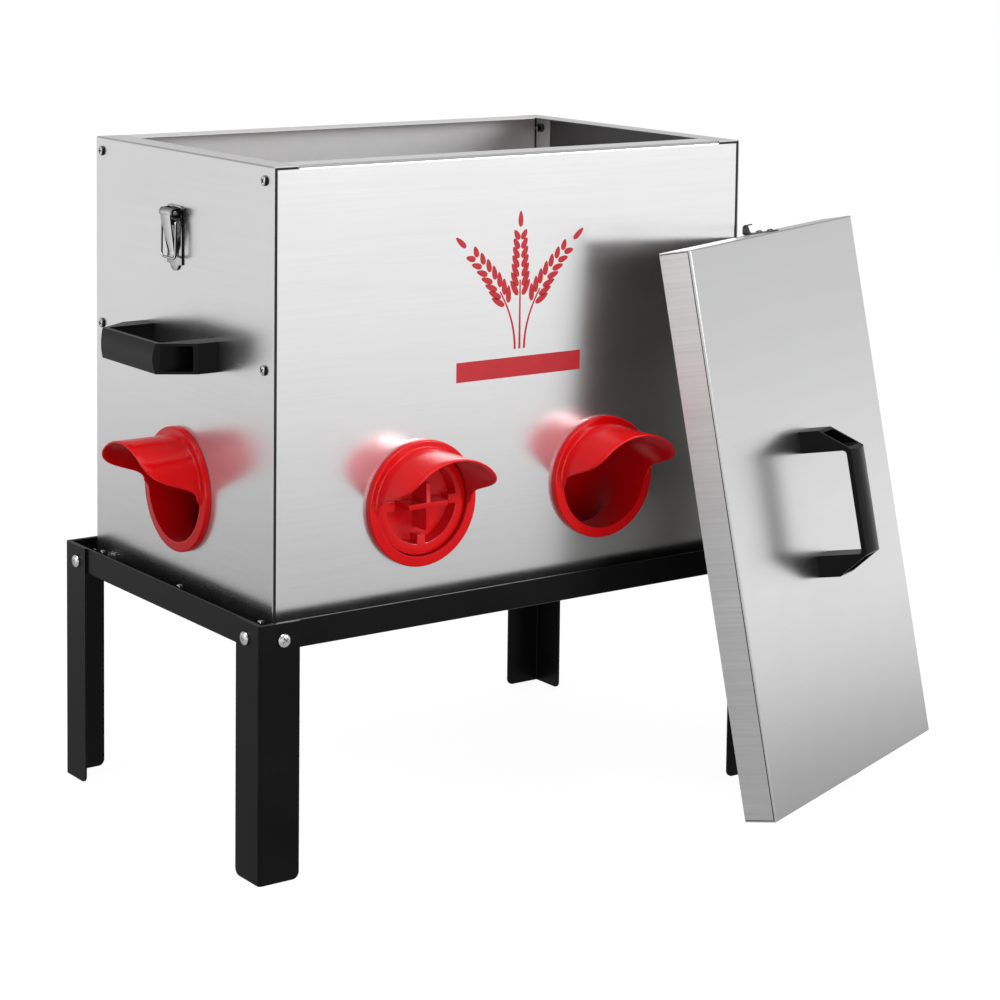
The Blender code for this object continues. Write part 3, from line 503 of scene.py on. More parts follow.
def joined(*meshes):
    """One mesh from several separate shells."""
    bm = bmesh.new()
    for mesh in meshes:
        bm.from_mesh(mesh)
    made = bpy.data.meshes.new("joined")
    bm.to_mesh(made)
    bm.free()
    return smooth(made, 38)


def folded(points, thickness, radius, steps=6):
    """Outline of a bent sheet. points run along its outer side, and every inner corner turns by 90 degrees."""
    points = [Vector(p) for p in points]
    outer, inner = [], []
    for i, p in enumerate(points):
        if i in (0, len(points) - 1):
            d = (points[1] - p if i == 0 else p - points[i - 1]).normalized()
            near = points[0:3] if i == 0 else points[-3:]
            turn = (near[1] - near[0]).cross(near[2] - near[1])
            n = Vector((-d.y, d.x)) * (1 if turn > 0 else -1)
            outer.append(p)
            inner.append(p + n * thickness)
            continue
        a, b = (p - points[i - 1]).normalized(), (points[i + 1] - p).normalized()
        sign = 1 if a.cross(b) > 0 else -1
        n = Vector((-a.y, a.x)) * sign
        centre = p - a * radius + n * radius
        for k in range(steps + 1):
            turned = Matrix.Rotation(sign * math.pi / 2 * k / steps, 2) @ -n
            outer.append(centre + turned * radius)
            inner.append(centre + turned * (radius - thickness))
    return [tuple(p) for p in outer] + [tuple(p) for p in reversed(inner)]


# ------------------------------------------------------------------ hopper
x_in = W / 2 - SHEET - GAP
z_low = BOTTOM + SHEET + GAP
Y_TO_Z = axes((0, 0, 0), (0, 1, 0), (0, 0, 1))
X_TO_Z = axes((0, 0, 0), (1, 0, 0), (0, 0, 1))


def end_panel(sign):
    """Front (-1) or back (+1) panel: folded side returns and a folded top rim, with a rounded bend at each fold."""
    u = [(-x_in, -D / 2 + RETURN), (-x_in, -D / 2), (x_in, -D / 2), (x_in, -D / 2 + RETURN)]
    height = TOP - z_low
    body = baked(outline_mesh([folded(u, SHEET, BEND)], height), Matrix.Translation((0, 0, (z_low + height / 2) * MM)))
    reach = W / 2 - NOTCH - GAP
    rim = [(-D / 2, TOP - 30.0), (-D / 2, TOP), (-D / 2 + END_RIM, TOP)]
    rim = baked(outline_mesh([folded(rim, SHEET, BEND)], 2 * reach), Y_TO_Z)
    clear = box_mesh((-reach, -D / 2 - 4, TOP - 4.0), (reach, -D / 2 + 40, TOP + 4))
    ends = []
    for s in (-1, 1):
        xs = sorted((s * (reach - 0.5), s * W))
        ends.append(box_mesh((xs[0], -D / 2 - 4, TOP - 3.0), (xs[1], 0, TOP + 4)))
    body = worked(body, cuts=[clear] + ends)
    holes = []
    if sign < 0:
        holes = [rod_mesh((x, -D / 2 - 5, PORT_Z), (x, -D / 2 + 5, PORT_Z), PORT_HOLE_R, 96) for x in FRONT_PORTS]
    made = worked(body, joins=[rim], cuts=holes, angle=28)
    return baked(made, Matrix.Diagonal((1, -1, 1, 1))) if sign > 0 else made


def side_panel(s):
    side = [(-W / 2, z_low), (-W / 2, TOP), (-W / 2 + SIDE_RIM, TOP)]
    body = baked(outline_mesh([folded(side, SHEET, 1.7)], D), X_TO_Z)
    end = D / 2 - SHEET - GAP
    cuts = [
        box_mesh((-W / 2 + 1.7, -D, TOP - 3), (-W / 2 + 60, -end - 0.6, TOP + 3)),
        box_mesh((-W / 2 + 1.7, end + 0.6, TOP - 3), (-W / 2 + 60, D, TOP + 3)),
        rod_mesh((-W / 2 - 5, 0, PORT_Z), (-W / 2 + 5, 0, PORT_Z), PORT_HOLE_R, 96),
    ]
    return flipped(worked(body, cuts=cuts, angle=28), s)


piece("front_panel_look", end_panel(-1), "front", "feeder", "front_panel")
piece("back_panel_look", end_panel(1), "front", "feeder", "back_panel")
piece("left_panel_look", side_panel(-1), "side", "feeder", "left_side_panel")
piece("right_panel_look", side_panel(1), "side", "feeder", "right_side_panel")

# painted shadow: dark strips fill the corner gaps between the panels and under the side rims, where shade falls
gap_shadow_strips = []
for sx in (-1, 1):
    for sy in (-1, 1):
        xs, ys = sorted((sx * 245.9, sx * 248.95)), sorted((sy * (D / 2 - 0.12), sy * (D / 2 - 2.2)))
        gap_shadow_strips.append(box_mesh((xs[0], ys[0], z_low + 0.5), (xs[1], ys[1], TOP - 2.6)))
        xs, ys = sorted((sx * 226.0, sx * 248.6)), sorted((sy * (D / 2 - 1.0), sy * (D / 2 - 1.9)))
        gap_shadow_strips.append(box_mesh((xs[0], ys[0], TOP - 4.0), (xs[1], ys[1], TOP - 1.15)))
piece("corner_gap_shadow_strips", joined(*gap_shadow_strips), "seam", "feeder")

pan = frame["nodes"]["floor_pan"]
pan.data.materials.clear()
pan.data.materials.append(MAT["floor"])

# ------------------------------------------------------------------ fasteners


def screw_head(radius, height, cross):
    """Domed pan head standing on Z = 0 with a cross recess."""
    profile = [(0.0, -0.0)]
    profile += [(radius - 0.25, 0.0), (radius, 0.25), (radius, height * 0.28)]
    for a in np.linspace(12, 90, 9):
        t = math.radians(a)
        profile.append((radius * math.cos(t) ** 0.62 if a < 89.9 else 0.0, height * 0.28 + height * 0.72 * math.sin(t)))
    arm, wide = cross
    cuts = []
    for turn in (0, 90):
        bm = bmesh.new()
        bmesh.ops.create_cone(
            bm, cap_ends=True, segments=4, radius1=0.35 * MM, radius2=1.0 * MM, depth=2.4 * MM,
            matrix=Matrix.Translation((0, 0, (height - 0.8) * MM)) @ Matrix.Rotation(math.radians(turn), 4, "Z")
            @ Matrix.Diagonal((arm * 1.42, wide * 1.42, 1, 1)) @ Matrix.Rotation(math.radians(45), 4, "Z"),
        )
        cuts.append(mesh_of(bm, "cross"))
    return worked(lathe_mesh(profile, 40), cuts=cuts, angle=38)


bolt_head = screw_head(6.0, 3.5, (3.7, 1.0))
screw_top = screw_head(4.5, 2.6, (2.8, 0.8))
rivet_top = worked(
    lathe_mesh([(0, 0), (3.1, 0), (3.1, 0.3)] + [(3.1 * math.cos(math.radians(a)), 0.3 + 1.5 * math.sin(math.radians(a))) for a in (20, 40, 60, 75)] + [(0, 1.8)], 32)
)
bolt_shank = worked(rod_mesh((0, 0, 0), (0, 0, -11.4), BOLT_R, 24), bevel=(0.5, 2))
screw_shank = worked(rod_mesh((0, 0, 0), (0, 0, -9.0), 2.4, 20, 1.9), bevel=(0.3, 1))


bolt_mesh = joined(bolt_head, bolt_shank)
screw_mesh = joined(screw_top, screw_shank)
nut_profile = [(5.2, 0.0), (6.6, 0.8), (6.6, 4.2), (5.2, 5.0), (BOLT_R + GAP, 5.0), (BOLT_R + GAP, 0.0)]
hexagon = baked(outline_mesh([ring_points(5.8, 6)], 12.0), Matrix.Identity(4))
chamfer = lathe_mesh([(0.0, -0.01), (5.1, -0.01), (5.95, 0.6), (5.95, 4.4), (5.1, 5.01), (0.0, 5.01)], 48)
nut_mesh = worked(chamfer, cuts=[rod_mesh((0, 0, -3), (0, 0, 9), BOLT_R + GAP, 24)])
nut_main = bpy.data.objects.new("nut_work", nut_mesh)
nut_hex = bpy.data.objects.new("nut_hex", hexagon)
for helper in (nut_main, nut_hex):
    bpy.context.scene.collection.objects.link(helper)
step = nut_main.modifiers.new("hex", "BOOLEAN")
step.operation, step.solver, step.object = "INTERSECT", "EXACT", nut_hex
bpy.context.view_layer.update()
nut_mesh = smooth(bpy.data.meshes.new_from_object(nut_main.evaluated_get(bpy.context.evaluated_depsgraph_get())), 25)
for helper in (nut_main, nut_hex):
    bpy.data.objects.remove(helper)


small_nut = nut_mesh.copy()
small_nut.transform(Matrix.Scale(0.8, 4))


def standing(point, out, turn=0.0):
    """Placement of a fastener on a face: local Z points out of it."""
    z = Vector(out).normalized()
    x = Vector((0, 0, 1)).cross(z).normalized() if abs(z.z) < 0.9 else Vector((1, 0, 0))
    base = Matrix((x, z.cross(x), z)).transposed().to_4x4()
    return Matrix.Translation(Vector(point) * MM) @ base @ Matrix.Rotation(math.radians(turn), 4, "Z")


turn = 17
for s, side in ((-1, "left"), (1, "right")):
    for row, z in SCREW_Z.items():
        for end, y in SCREW_Y.items():
            turn += 37
            name = f"{side}_{row}_{end}_screw"
            piece(name + "_look", screw_mesh, "screw", "feeder", name, standing((s * (W / 2 + 0.05), y, z), (s, 0, 0), turn))
            piece(name + "_nut", small_nut, "claw", "feeder", (), standing((s * (W / 2 - 2 * SHEET - GAP - 0.05), y, z), (-s, 0, 0)))
    for i, y in enumerate((-139.0, 0.0, 146.0)):
        turn += 37
        piece(f"{side}_bottom_screw_{i}", screw_mesh, "screw", "feeder", (), standing((s * (W / 2 + 0.05), y, 209.5), (s, 0, 0), turn))

# ------------------------------------------------------------------ stand
rail_x, rail_y = LEG_X - IRON - GAP, LEG_Y - IRON - GAP
bolt_z, bolt_x, bolt_y = LEG_L - BOLT_DOWN, LEG_X - BOLT_IN, LEG_Y - BOLT_IN


def leg_mesh(sx, sy):
    points = [(LEG_W, 0.0), (LEG_W, IRON)] + arc(3, 3, 1.2, 270, 180, 5)
    points += [(IRON, LEG_W), (0.0, LEG_W)] + arc(3, 3, 3, 180, 270, 8)
    mesh = outline_mesh([[(x, y) for x, y in points]], LEG_L)
    # rounded free corners at the foot
    cuts = []
    for turned in (False, True):
        corner = [(LEG_W + 1, -1), (LEG_W - 6, -1)] + [(LEG_W - 6, 0)] + arc(LEG_W - 6, 6, 6, 270, 360, 8)[1:] + [(LEG_W, 7), (LEG_W + 1, 7)]
        plate = outline_mesh([corner], 20)
        place = axes((0, 0, -LEG_L / 2), (0, 1, 0), (0, 0, 1)) if turned else axes((0, 0, -LEG_L / 2), (1, 0, 0), (0, 0, 1))
        cuts.append(baked(plate, place))
    mesh = worked(mesh, cuts=cuts, bevel=(0.35, 2), limit=40)
    mesh = baked(mesh, Matrix.Translation((0, 0, LEG_L / 2 * MM)))
    place = Matrix.Translation((sx * LEG_X * MM, sy * LEG_Y * MM, 0)) @ Matrix.Diagonal((-sx, -sy, 1, 1))
    return smooth(baked(mesh, place), 32)


for sx, sy, name in ((-1, -1, "front_left"), (1, -1, "front_right"), (-1, 1, "back_left"), (1, 1, "back_right")):
    piece(name + "_leg_look", leg_mesh(sx, sy), "iron", "feeder", name + "_leg")
    end, side = ("front" if sy < 0 else "back"), ("left" if sx < 0 else "right")
    for facing, point, out in (
        (end, Vector((sx * bolt_x, sy * (LEG_Y + 0.05), bolt_z)), Vector((0, sy, 0))),
        (side, Vector((sx * (LEG_X + 0.05), sy * bolt_y, bolt_z)), Vector((sx, 0, 0))),
    ):
        turn += 41
        label = f"{name}_bolt_{facing}"
        piece(label + "_look", bolt_mesh, "zinc", "feeder", label, standing(point, out, turn))
        label = f"{name}_nut_{facing}"
        inner = point - out * (0.05 + IRON + GAP + IRON + 5.1)
        piece(label + "_look", nut_mesh, "zinc", "feeder", label, standing(inner, out, 0))


def rail_mesh(length, shelf_cut):
    """Angle section along X: upstand on y = 0, shelf towards +y at the bottom, ends of the shelf cut back."""
    outline = [(0.0, RAIL_H), (0.0, 0.0), (LEG_W, 0.0)]
    mesh = baked(outline_mesh([folded(outline, IRON, 2.6)], length), Y_TO_Z)
    half = length / 2
    cuts = [
        box_mesh((half - shelf_cut, IRON + 0.05, -1), (half + 5, 60, 8)),
        box_mesh((-half - 5, IRON + 0.05, -1), (-half + shelf_cut, 60, 8)),
    ]
    return worked(mesh, cuts=cuts, bevel=(0.5, 3), limit=40)


for sign, name in ((-1, "front_rail"), (1, "back_rail")):
    mesh = rail_mesh(2 * (rail_x - 1.0), 3.0)
    place = Matrix.Translation((0, sign * rail_y * MM, (LEG_L - RAIL_H) * MM)) @ Matrix.Rotation(0 if sign < 0 else math.pi, 4, "Z")
    piece(name + "_look", baked(mesh, place), "iron", "feeder", name)
for sign, name in ((-1, "left_rail"), (1, "right_rail")):
    reach = rail_y - IRON - GAP
    mesh = rail_mesh(2 * reach, LEG_W - IRON)
    place = Matrix.Translation((sign * rail_x * MM, 0, (LEG_L - RAIL_H) * MM)) @ Matrix.Rotation(math.radians(-90 if sign < 0 else 90), 4, "Z")
    piece(name + "_look", baked(mesh, place), "iron", "feeder", name)

# ------------------------------------------------------------------ feed ports
SEG = 144


def hood_length(angle):
    s = math.sin(angle)
    if s <= 0:
        return 0.2 + 3.8 * max(0.0, 1.0 + s / 0.12)
    k, a = 2.14, 0.314
    return 4.0 + 48.8 * s**k / (s**k + a * (1.0 - s) ** k)


def port_mesh():
    """Feed port: mouth axis along +Z, up is +Y, the panel's face at Z = 0."""
    bends = [math.pi / 2 * i / 14 for i in range(14, -1, -1)]
    bm = bmesh.new()
    rings = []
    for i in range(SEG):
        t = 2 * math.pi * i / SEG
        c, s = math.cos(t), math.sin(t)
        length = hood_length(t)

        def elbow(r, bend):
            reach = ELBOW_R + r * s
            return (r * c, -ELBOW_R + reach * math.cos(bend), -NECK_L - reach * math.sin(bend))

        def outlet(r):
            x, y, z = elbow(r, math.pi / 2)
            return (x, y - ELBOW_DROP, z)

        ring = [outlet(NECK_R)] + [elbow(NECK_R, bend) for bend in bends]
        flat = [(NECK_R, 0.1), (FLANGE_R - 0.4, 0.1), (FLANGE_R, 0.5), (FLANGE_R, FLANGE_T - 1.4)]
        flat += [(FLANGE_R - 1.4 + 1.4 * math.cos(math.radians(a)), FLANGE_T - 1.4 + 1.4 * math.sin(math.radians(a))) for a in (22, 45, 67, 90)]
        root = min(1.6, 0.45 * length)
        flat += [(MOUTH_R + HOOD_WALL + root * (1 - math.sin(math.radians(a))), FLANGE_T + root * (1 - math.cos(math.radians(a)))) for a in (0, 30, 60)]
        ring += [(r * c, r * s, z) for r, z in flat]

        def hood(share, wall):
            out = root + share * (length - root) if wall > 0 else share * length
            r = MOUTH_R + wall + HOOD_FLARE * out
            return (r * c, r * s - HOOD_DROP * out, FLANGE_T + out)

        lip = min(0.9, 0.3 * length)
        last = 1.0 - lip / max(length, 0.01)
        for k in range(9):
            ring.append(hood(last * k / 8, HOOD_WALL))
        for a in (30, 60, 90, 120, 150):
            wall = HOOD_WALL / 2 + HOOD_WALL / 2 * math.cos(math.radians(a))
            share = last + (1 - last) * math.sin(math.radians(a))
            out = share * length
            r = MOUTH_R + wall + HOOD_FLARE * out
            ring.append((r * c, r * s - HOOD_DROP * out, FLANGE_T + out))
        for k in range(8, -1, -1):
            ring.append(hood(last * k / 8, 0.0))
        ring.append((MOUTH_R * c, MOUTH_R * s, FLANGE_T - 1.0))
        ring += [elbow(MOUTH_R, bend) for bend in reversed(bends)] + [outlet(MOUTH_R)]
        rings.append([bm.verts.new(Vector(p) * MM) for p in ring])
    for i in range(SEG):
        a, b = rings[i], rings[(i + 1) % SEG]
        for j in range(len(a)):
            k = (j + 1) % len(a)
            bm.faces.new((a[j], b[j], b[k], a[k]))
    return smooth(mesh_of(bm, "port"), 42)


PORT_FRAMES = {
    "front_left": axes((FRONT_PORTS[0], -D / 2, PORT_Z), (1, 0, 0), (0, 0, 1)),
    "front_right": axes((FRONT_PORTS[1], -D / 2, PORT_Z), (1, 0, 0), (0, 0, 1)),
    "left_side": axes((-W / 2, 0, PORT_Z), (0, -1, 0), (0, 0, 1)),
    "right_side": axes((W / 2, 0, PORT_Z), (0, 1, 0), (0, 0, 1)),
}
grips = []
for i in range(144):
    a = 2 * math.pi * i / 144
    r = 55.2 + 1.6 / (1 + math.exp(-10 * math.cos(12 * a)))
    grips.append((r * math.cos(a), r * math.sin(a)))
ring_nut = worked(outline_mesh([grips, ring_points(PORT_HOLE_R, 96)], 9.0), bevel=(0.5, 2), limit=50)
ring_nut = baked(ring_nut, Matrix.Translation((0, 0, -(SHEET + GAP + 4.5) * MM)))
one_port = port_mesh()
for where, place in PORT_FRAMES.items():
    piece(f"{where}_port_look", one_port, "red", "feeder", f"{where}_port", place)
    piece(f"{where}_ring_nut_look", ring_nut, "red", "feeder", f"{where}_ring_nut", place)

# plug
PLUG_R, PLUG_IN, FACE, PAN = 45.2, 35.7, 2.6, -9.0
profile = [(PLUG_R, -18.0), (PLUG_R, FACE - 0.9), (PLUG_R - 0.25, FACE - 0.25), (PLUG_R - 0.9, FACE), (PLUG_IN + 0.9, FACE)]
profile += [(PLUG_IN + 0.25, FACE - 0.25), (PLUG_IN, FACE - 0.9), (PLUG_IN - 0.5, PAN + 1.2), (PLUG_IN - 1.4, PAN), (0.0, PAN), (0.0, PAN - 3.0)]
profile += [(PLUG_IN + 3.0, PAN - 3.0), (PLUG_R - 3.0, -18.0)]
bm = bmesh.new()
verts = [bm.verts.new((r * MM, 0, z * MM)) for r, z in profile]
edges = [bm.edges.new((verts[i], verts[(i + 1) % len(verts)])) for i in range(len(verts)) if i != 9]
bmesh.ops.spin(bm, geom=verts + edges, cent=(0, 0, 0), axis=(0, 0, 1), angle=2 * math.pi, steps=120, use_merge=True)
bars = [
    box_mesh((-20, -2.2, PAN - 1), (20, 2.2, 13)),
    box_mesh((-2.2, -22.0, PAN - 1), (2.2, 19.2, 12.9)),
    box_mesh((-PLUG_IN - 2, -4.0, PAN - 1), (-28.0, 4.0, FACE - 0.12)),
    box_mesh((28.0, -4.0, PAN - 1), (PLUG_IN + 2, 4.0, FACE - 0.12)),
    box_mesh((-4.0, -PLUG_IN - 2, PAN - 1), (4.0, -27.5, FACE - 0.14)),
    box_mesh((-4.0, 27.5, PAN - 1), (4.0, PLUG_IN + 2, FACE - 0.14)),
]
plug = worked(mesh_of(bm, "plug"), joins=bars, bevel=(0.4, 2), angle=34, limit=50)
piece("feed_port_plug_look", plug, "red", "plug", "feed_port_plug", PORT_FRAMES["front_left"])

# ------------------------------------------------------------------ handles


def handle_mesh():
    """Bridge handle: a crowned grip, rounded edges, and a screw pocket sunk into the slope at each end."""
    h, tall = HANDLE_L / 2, HANDLE_H + HANDLE_CROWN + 0.8
    slope = (48.5 - h) / (HANDLE_H - HANDLE_SHOULDER)
    top = h + slope * (tall - HANDLE_SHOULDER)
    points = [(h, 0.0), (h, HANDLE_SHOULDER), (top, tall), (-top, tall), (-h, HANDLE_SHOULDER), (-h, 0.0), (-h + 20, 0.0)]
    points += arc(-h + 24, HANDLE_INNER - 4, 4, 180, 90, 8) + arc(h - 24, HANDLE_INNER - 4, 4, 90, 0, 8) + [(h - 20, 0.0)]
    half = HANDLE_W / 2
    arch = [(w, HANDLE_H + HANDLE_CROWN * (1 - (w / half) ** 2)) for w in np.linspace(half + 2, -half - 2, 41)]
    crown = outline_mesh([[(-half - 2, -3.0), (half + 2, -3.0)] + arch], HANDLE_L + 10)
    crown = baked(crown, axes((0, 0, 0), (0, 0, 1), (0, 1, 0)))
    body = worked(outline_mesh([points], HANDLE_W), meets=[crown], bevel=(0.7, 3), limit=30)
    pockets = []
    for e in (-1, 1):
        near, far = 50.3, h - 2.2
        pocket = outline_mesh([[(near, -half + 2.2), (far, -half + 2.2), (far, half - 2.2), (near, half - 2.2)]], 60)
        pocket = worked(pocket, bevel=(1.2, 3), limit=60)
        pockets.append(baked(pocket, Matrix.Scale(e, 4, (1, 0, 0)) @ axes((0, 35, 0), (1, 0, 0), (0, 0, -1))))
    return worked(body, cuts=pockets, angle=30)


grip = handle_mesh()
for s, side in ((-1, "left"), (1, "right")):
    place = axes((s * (W / 2 + 0.05), 0, SIDE_HANDLE_Z), (0, -s, 0), (s, 0, 0))
    piece(f"{side}_side_handle_look", grip, "black", "feeder", f"{side}_side_handle", place)
    for k in (-1, 1):
        tag = "ab"[k > 0]
        piece(f"{side}_handle_screw_{tag}", screw_top, "zinc", "feeder", (), place @ standing((k * 57.8, 5.05, 0), (0, 1, 0), 20 * k))
        piece(f"{side}_handle_nut_{tag}", small_nut, "zinc", "feeder", (), standing((s * (W / 2 - SHEET - 0.05), k * 57.8, SIDE_HANDLE_Z), (-s, 0, 0)))
piece("lid_handle_look", grip, "black", "lid", "lid_handle", LID @ axes((LID_L / 2, LID_D / 2, 0.05), (1, 0, 0), (0, 0, 1)))
for k in (-1, 1):
    tag = "ab"[k > 0]
    place = LID @ axes((LID_L / 2, LID_D / 2, 0.05), (1, 0, 0), (0, 0, 1))
    piece(f"lid_handle_screw_{tag}", screw_top, "zinc", "lid", (), place @ standing((k * 57.8, 5.05, 0), (0, 1, 0), 30 * k))
    piece(f"lid_handle_nut_{tag}", small_nut, "zinc", "lid", (), LID @ standing((LID_L / 2 + k * 57.8, LID_D / 2, -SHEET - 0.05), (0, 0, -1)))

# ------------------------------------------------------------------ draw latches


def latch(s, side):
    px, pz, cy = -PIN_X, PIN_Z, LATCH_Y
    back = -W / 2 - 0.05
    outline = [(cy - 13, 497.0), (cy - 9.5, 497.0), (cy - 8.2, 496.2)] + arc(cy, 499.0, 8, 200, 340, 14)
    outline += [(cy + 8.2, 496.2), (cy + 9.5, 497.0), (cy + 13, 497.0), (cy + 13, pz + 3.5), (cy + 10.5, pz + 6.0), (cy - 10.5, pz + 6.0), (cy - 13, pz + 3.5)]
    plate = baked(outline_mesh([outline], 1.5), axes((back - 0.75, 0, 0), (0, 1, 0), (0, 0, 1)))
    ears = []
    for e in (-1, 1):
        ear = [(back - 0.6, pz + 4.6)] + [(px + x, pz + z) for x, z in arc(0, 0, 4, 80, 280, 16)] + [(back - 0.6, pz - 4.6)]
        ears.append(baked(outline_mesh([ear], 1.5), axes((0, cy + e * 10.25, 0), (1, 0, 0), (0, 0, 1))))
    base = worked(plate, joins=ears, bevel=(0.3, 2), limit=50)
    piece(f"{side}_latch_base_look", flipped(base, s), "plate", "feeder", f"{side}_latch_base")
    rivets = []
    for y, z in ((cy, 519.0), (cy, 530.0)):
        rivets.append(baked(rivet_top.copy(), standing((back - 1.45, y, z), (-1, 0, 0)) @ Matrix.Scale(0.8, 4)))
    piece(f"{side}_latch_rivets", flipped(joined(*rivets), s), "chrome", "feeder")
    dome = [(0.0, 12.9), (0.9, 12.8), (1.7, 12.4), (2.2, 11.8), (2.4, 11.1), (1.5, 11.1), (1.5, -11.1), (2.4, -11.1), (2.2, -11.8), (1.7, -12.4), (0.9, -12.8), (0.0, -12.9)]
    pin = baked(smooth(lathe_mesh(dome, 32)), axes((px, cy, pz), (1, 0, 0), (0, 0, -1)))
    piece(f"{side}_latch_pin_look", flipped(pin, s), "claw", "feeder", f"{side}_latch_pin")
    # lever: rolled barrel, tapering plate, sleeve for the wire
    barrel = rod_mesh((px, cy - 9.0, pz), (px, cy + 9.0, pz), 4.0, 40)
    sleeve = rod_mesh((px, cy - 8.0, pz - BAIL_DOWN), (px, cy + 8.0, pz - BAIL_DOWN), 2.5, 28)
    path = [(px - 3.35, pz + 1.0), (px - 3.3, pz - 2.5), (px - 3.0, pz - 5.0), (px + 2.4, 508.0), (px + 2.5, 505.4), (px + 1.6, 503.8)]
    outer = [(x - 0.65, z) for x, z in path]
    inner = [(x + 0.65, z) for x, z in reversed(path)]
    strip = baked(outline_mesh([outer + inner], 17.0), axes((0, cy, 0), (1, 0, 0), (0, 0, 1)))
    for vertex in strip.vertices:
        share = min(1.0, max(0.0, (pz - 5 - vertex.co.z / MM) / 30.0))
        vertex.co.y = (cy + (vertex.co.y / MM - cy) * (1.0 - 0.353 * share)) * MM
    lever = worked(barrel, joins=[strip, sleeve], bevel=(0.3, 2), limit=55, angle=35)
    piece(f"{side}_latch_lever_look", flipped(lever, s), "chrome", f"{side}_lever", f"{side}_latch_lever")
    # wire
    half, r = BAIL_HALF, 4.2
    flat = [(-6.0, 0.0)] + arc(-half + 1.8, -1.8, 1.8, 90, 180, 6) + arc(-half + r, -BAIL_L + r, r, 180, 270, 10)
    flat += arc(half - r, -BAIL_L + r, r, 270, 360, 10) + arc(half - 1.8, -1.8, 1.8, 0, 90, 6) + [(6.0, 0.0)]
    curve = bpy.data.curves.new("wire", "CURVE")
    curve.dimensions = "3D"
    curve.bevel_depth, curve.bevel_resolution, curve.use_fill_caps = WIRE_R * MM, 5, True
    spline = curve.splines.new("POLY")
    spline.points.add(len(flat) - 1)
    for target, (y, z) in zip(spline.points, flat):
        target.co = ((px - 0.5 * -z / BAIL_L) * MM, (cy + y) * MM, (pz - BAIL_DOWN + z) * MM, 1.0)
    wire = smooth(curve_to_mesh(curve), 50)
    piece(f"{side}_latch_bail_look", flipped(wire, s), "chrome", f"{side}_bail", f"{side}_latch_bail")


latch(-1, "left")
latch(1, "right")

# ------------------------------------------------------------------ lid
bm = bmesh.new()
bmesh.ops.create_cube(
    bm, size=1.0,
    matrix=Matrix.Translation(Vector((LID_L / 2, LID_D / 2, -LID_H / 2)) * MM) @ Matrix.Diagonal((LID_L * MM, LID_D * MM, LID_H * MM, 1)),
)
rims = [e for e in bm.edges if all(abs(v.co.z) < 1e-6 for v in e.verts)]
bmesh.ops.bevel(bm, geom=rims, offset=2.0 * MM, segments=6, profile=0.5, affect="EDGES")
uprights = [e for e in bm.edges if abs(e.verts[0].co.z - e.verts[1].co.z) > 0.02]
bmesh.ops.bevel(bm, geom=uprights, offset=0.5 * MM, segments=2, profile=0.5, affect="EDGES")
bmesh.ops.recalc_face_normals(bm, faces=bm.faces)
bmesh.ops.delete(bm, geom=[f for f in bm.faces if f.normal.z < -0.9], context="FACES_ONLY")
tray = bpy.data.meshes.new("tray")
bm.to_mesh(tray)
bm.free()
work = bpy.data.objects.new("tray_work", tray)
bpy.context.scene.collection.objects.link(work)
step = work.modifiers.new("sheet", "SOLIDIFY")
step.thickness, step.offset, step.use_even_offset = SHEET * MM, -1.0, True
bpy.context.view_layer.update()
tray = bpy.data.meshes.new_from_object(work.evaluated_get(bpy.context.evaluated_depsgraph_get()))
bpy.data.objects.remove(work)
seams = []
for cx in (0.0, LID_L):
    for cy in (0.0, LID_D):
        sx, sy = (1 if cx == 0 else -1), (1 if cy == 0 else -1)
        xs = sorted((cx + sx * 1.05, cx + sx * 1.6))
        ys = sorted((cy - sy * 3, cy + sy * 1.6))
        seams.append(box_mesh((xs[0], ys[0], -LID_H - 2), (xs[1], ys[1], -2.2)))
tray = worked(tray, cuts=seams, angle=28)
piece("lid_panel_look", tray, "lid", "lid", "lid_panel", LID)

# painted shadow: thin dark lines along the lid's long edges and down the skirt corners
lines = []
for cy, s in ((0.0, -1), (LID_D, 1)):
    ys = sorted((cy - s * 0.05, cy + s * 0.04))
    lines.append(box_mesh((1.2, ys[0], -2.95), (LID_L - 1.2, ys[1], -2.05)))
    for x in (1.2, LID_L - 1.9):
        lines.append(box_mesh((x, ys[0], -LID_H + 0.4), (x + 0.7, ys[1], -2.9)))
piece("lid_edge_shadow_lines", joined(*lines), "seam", "lid", (), LID)

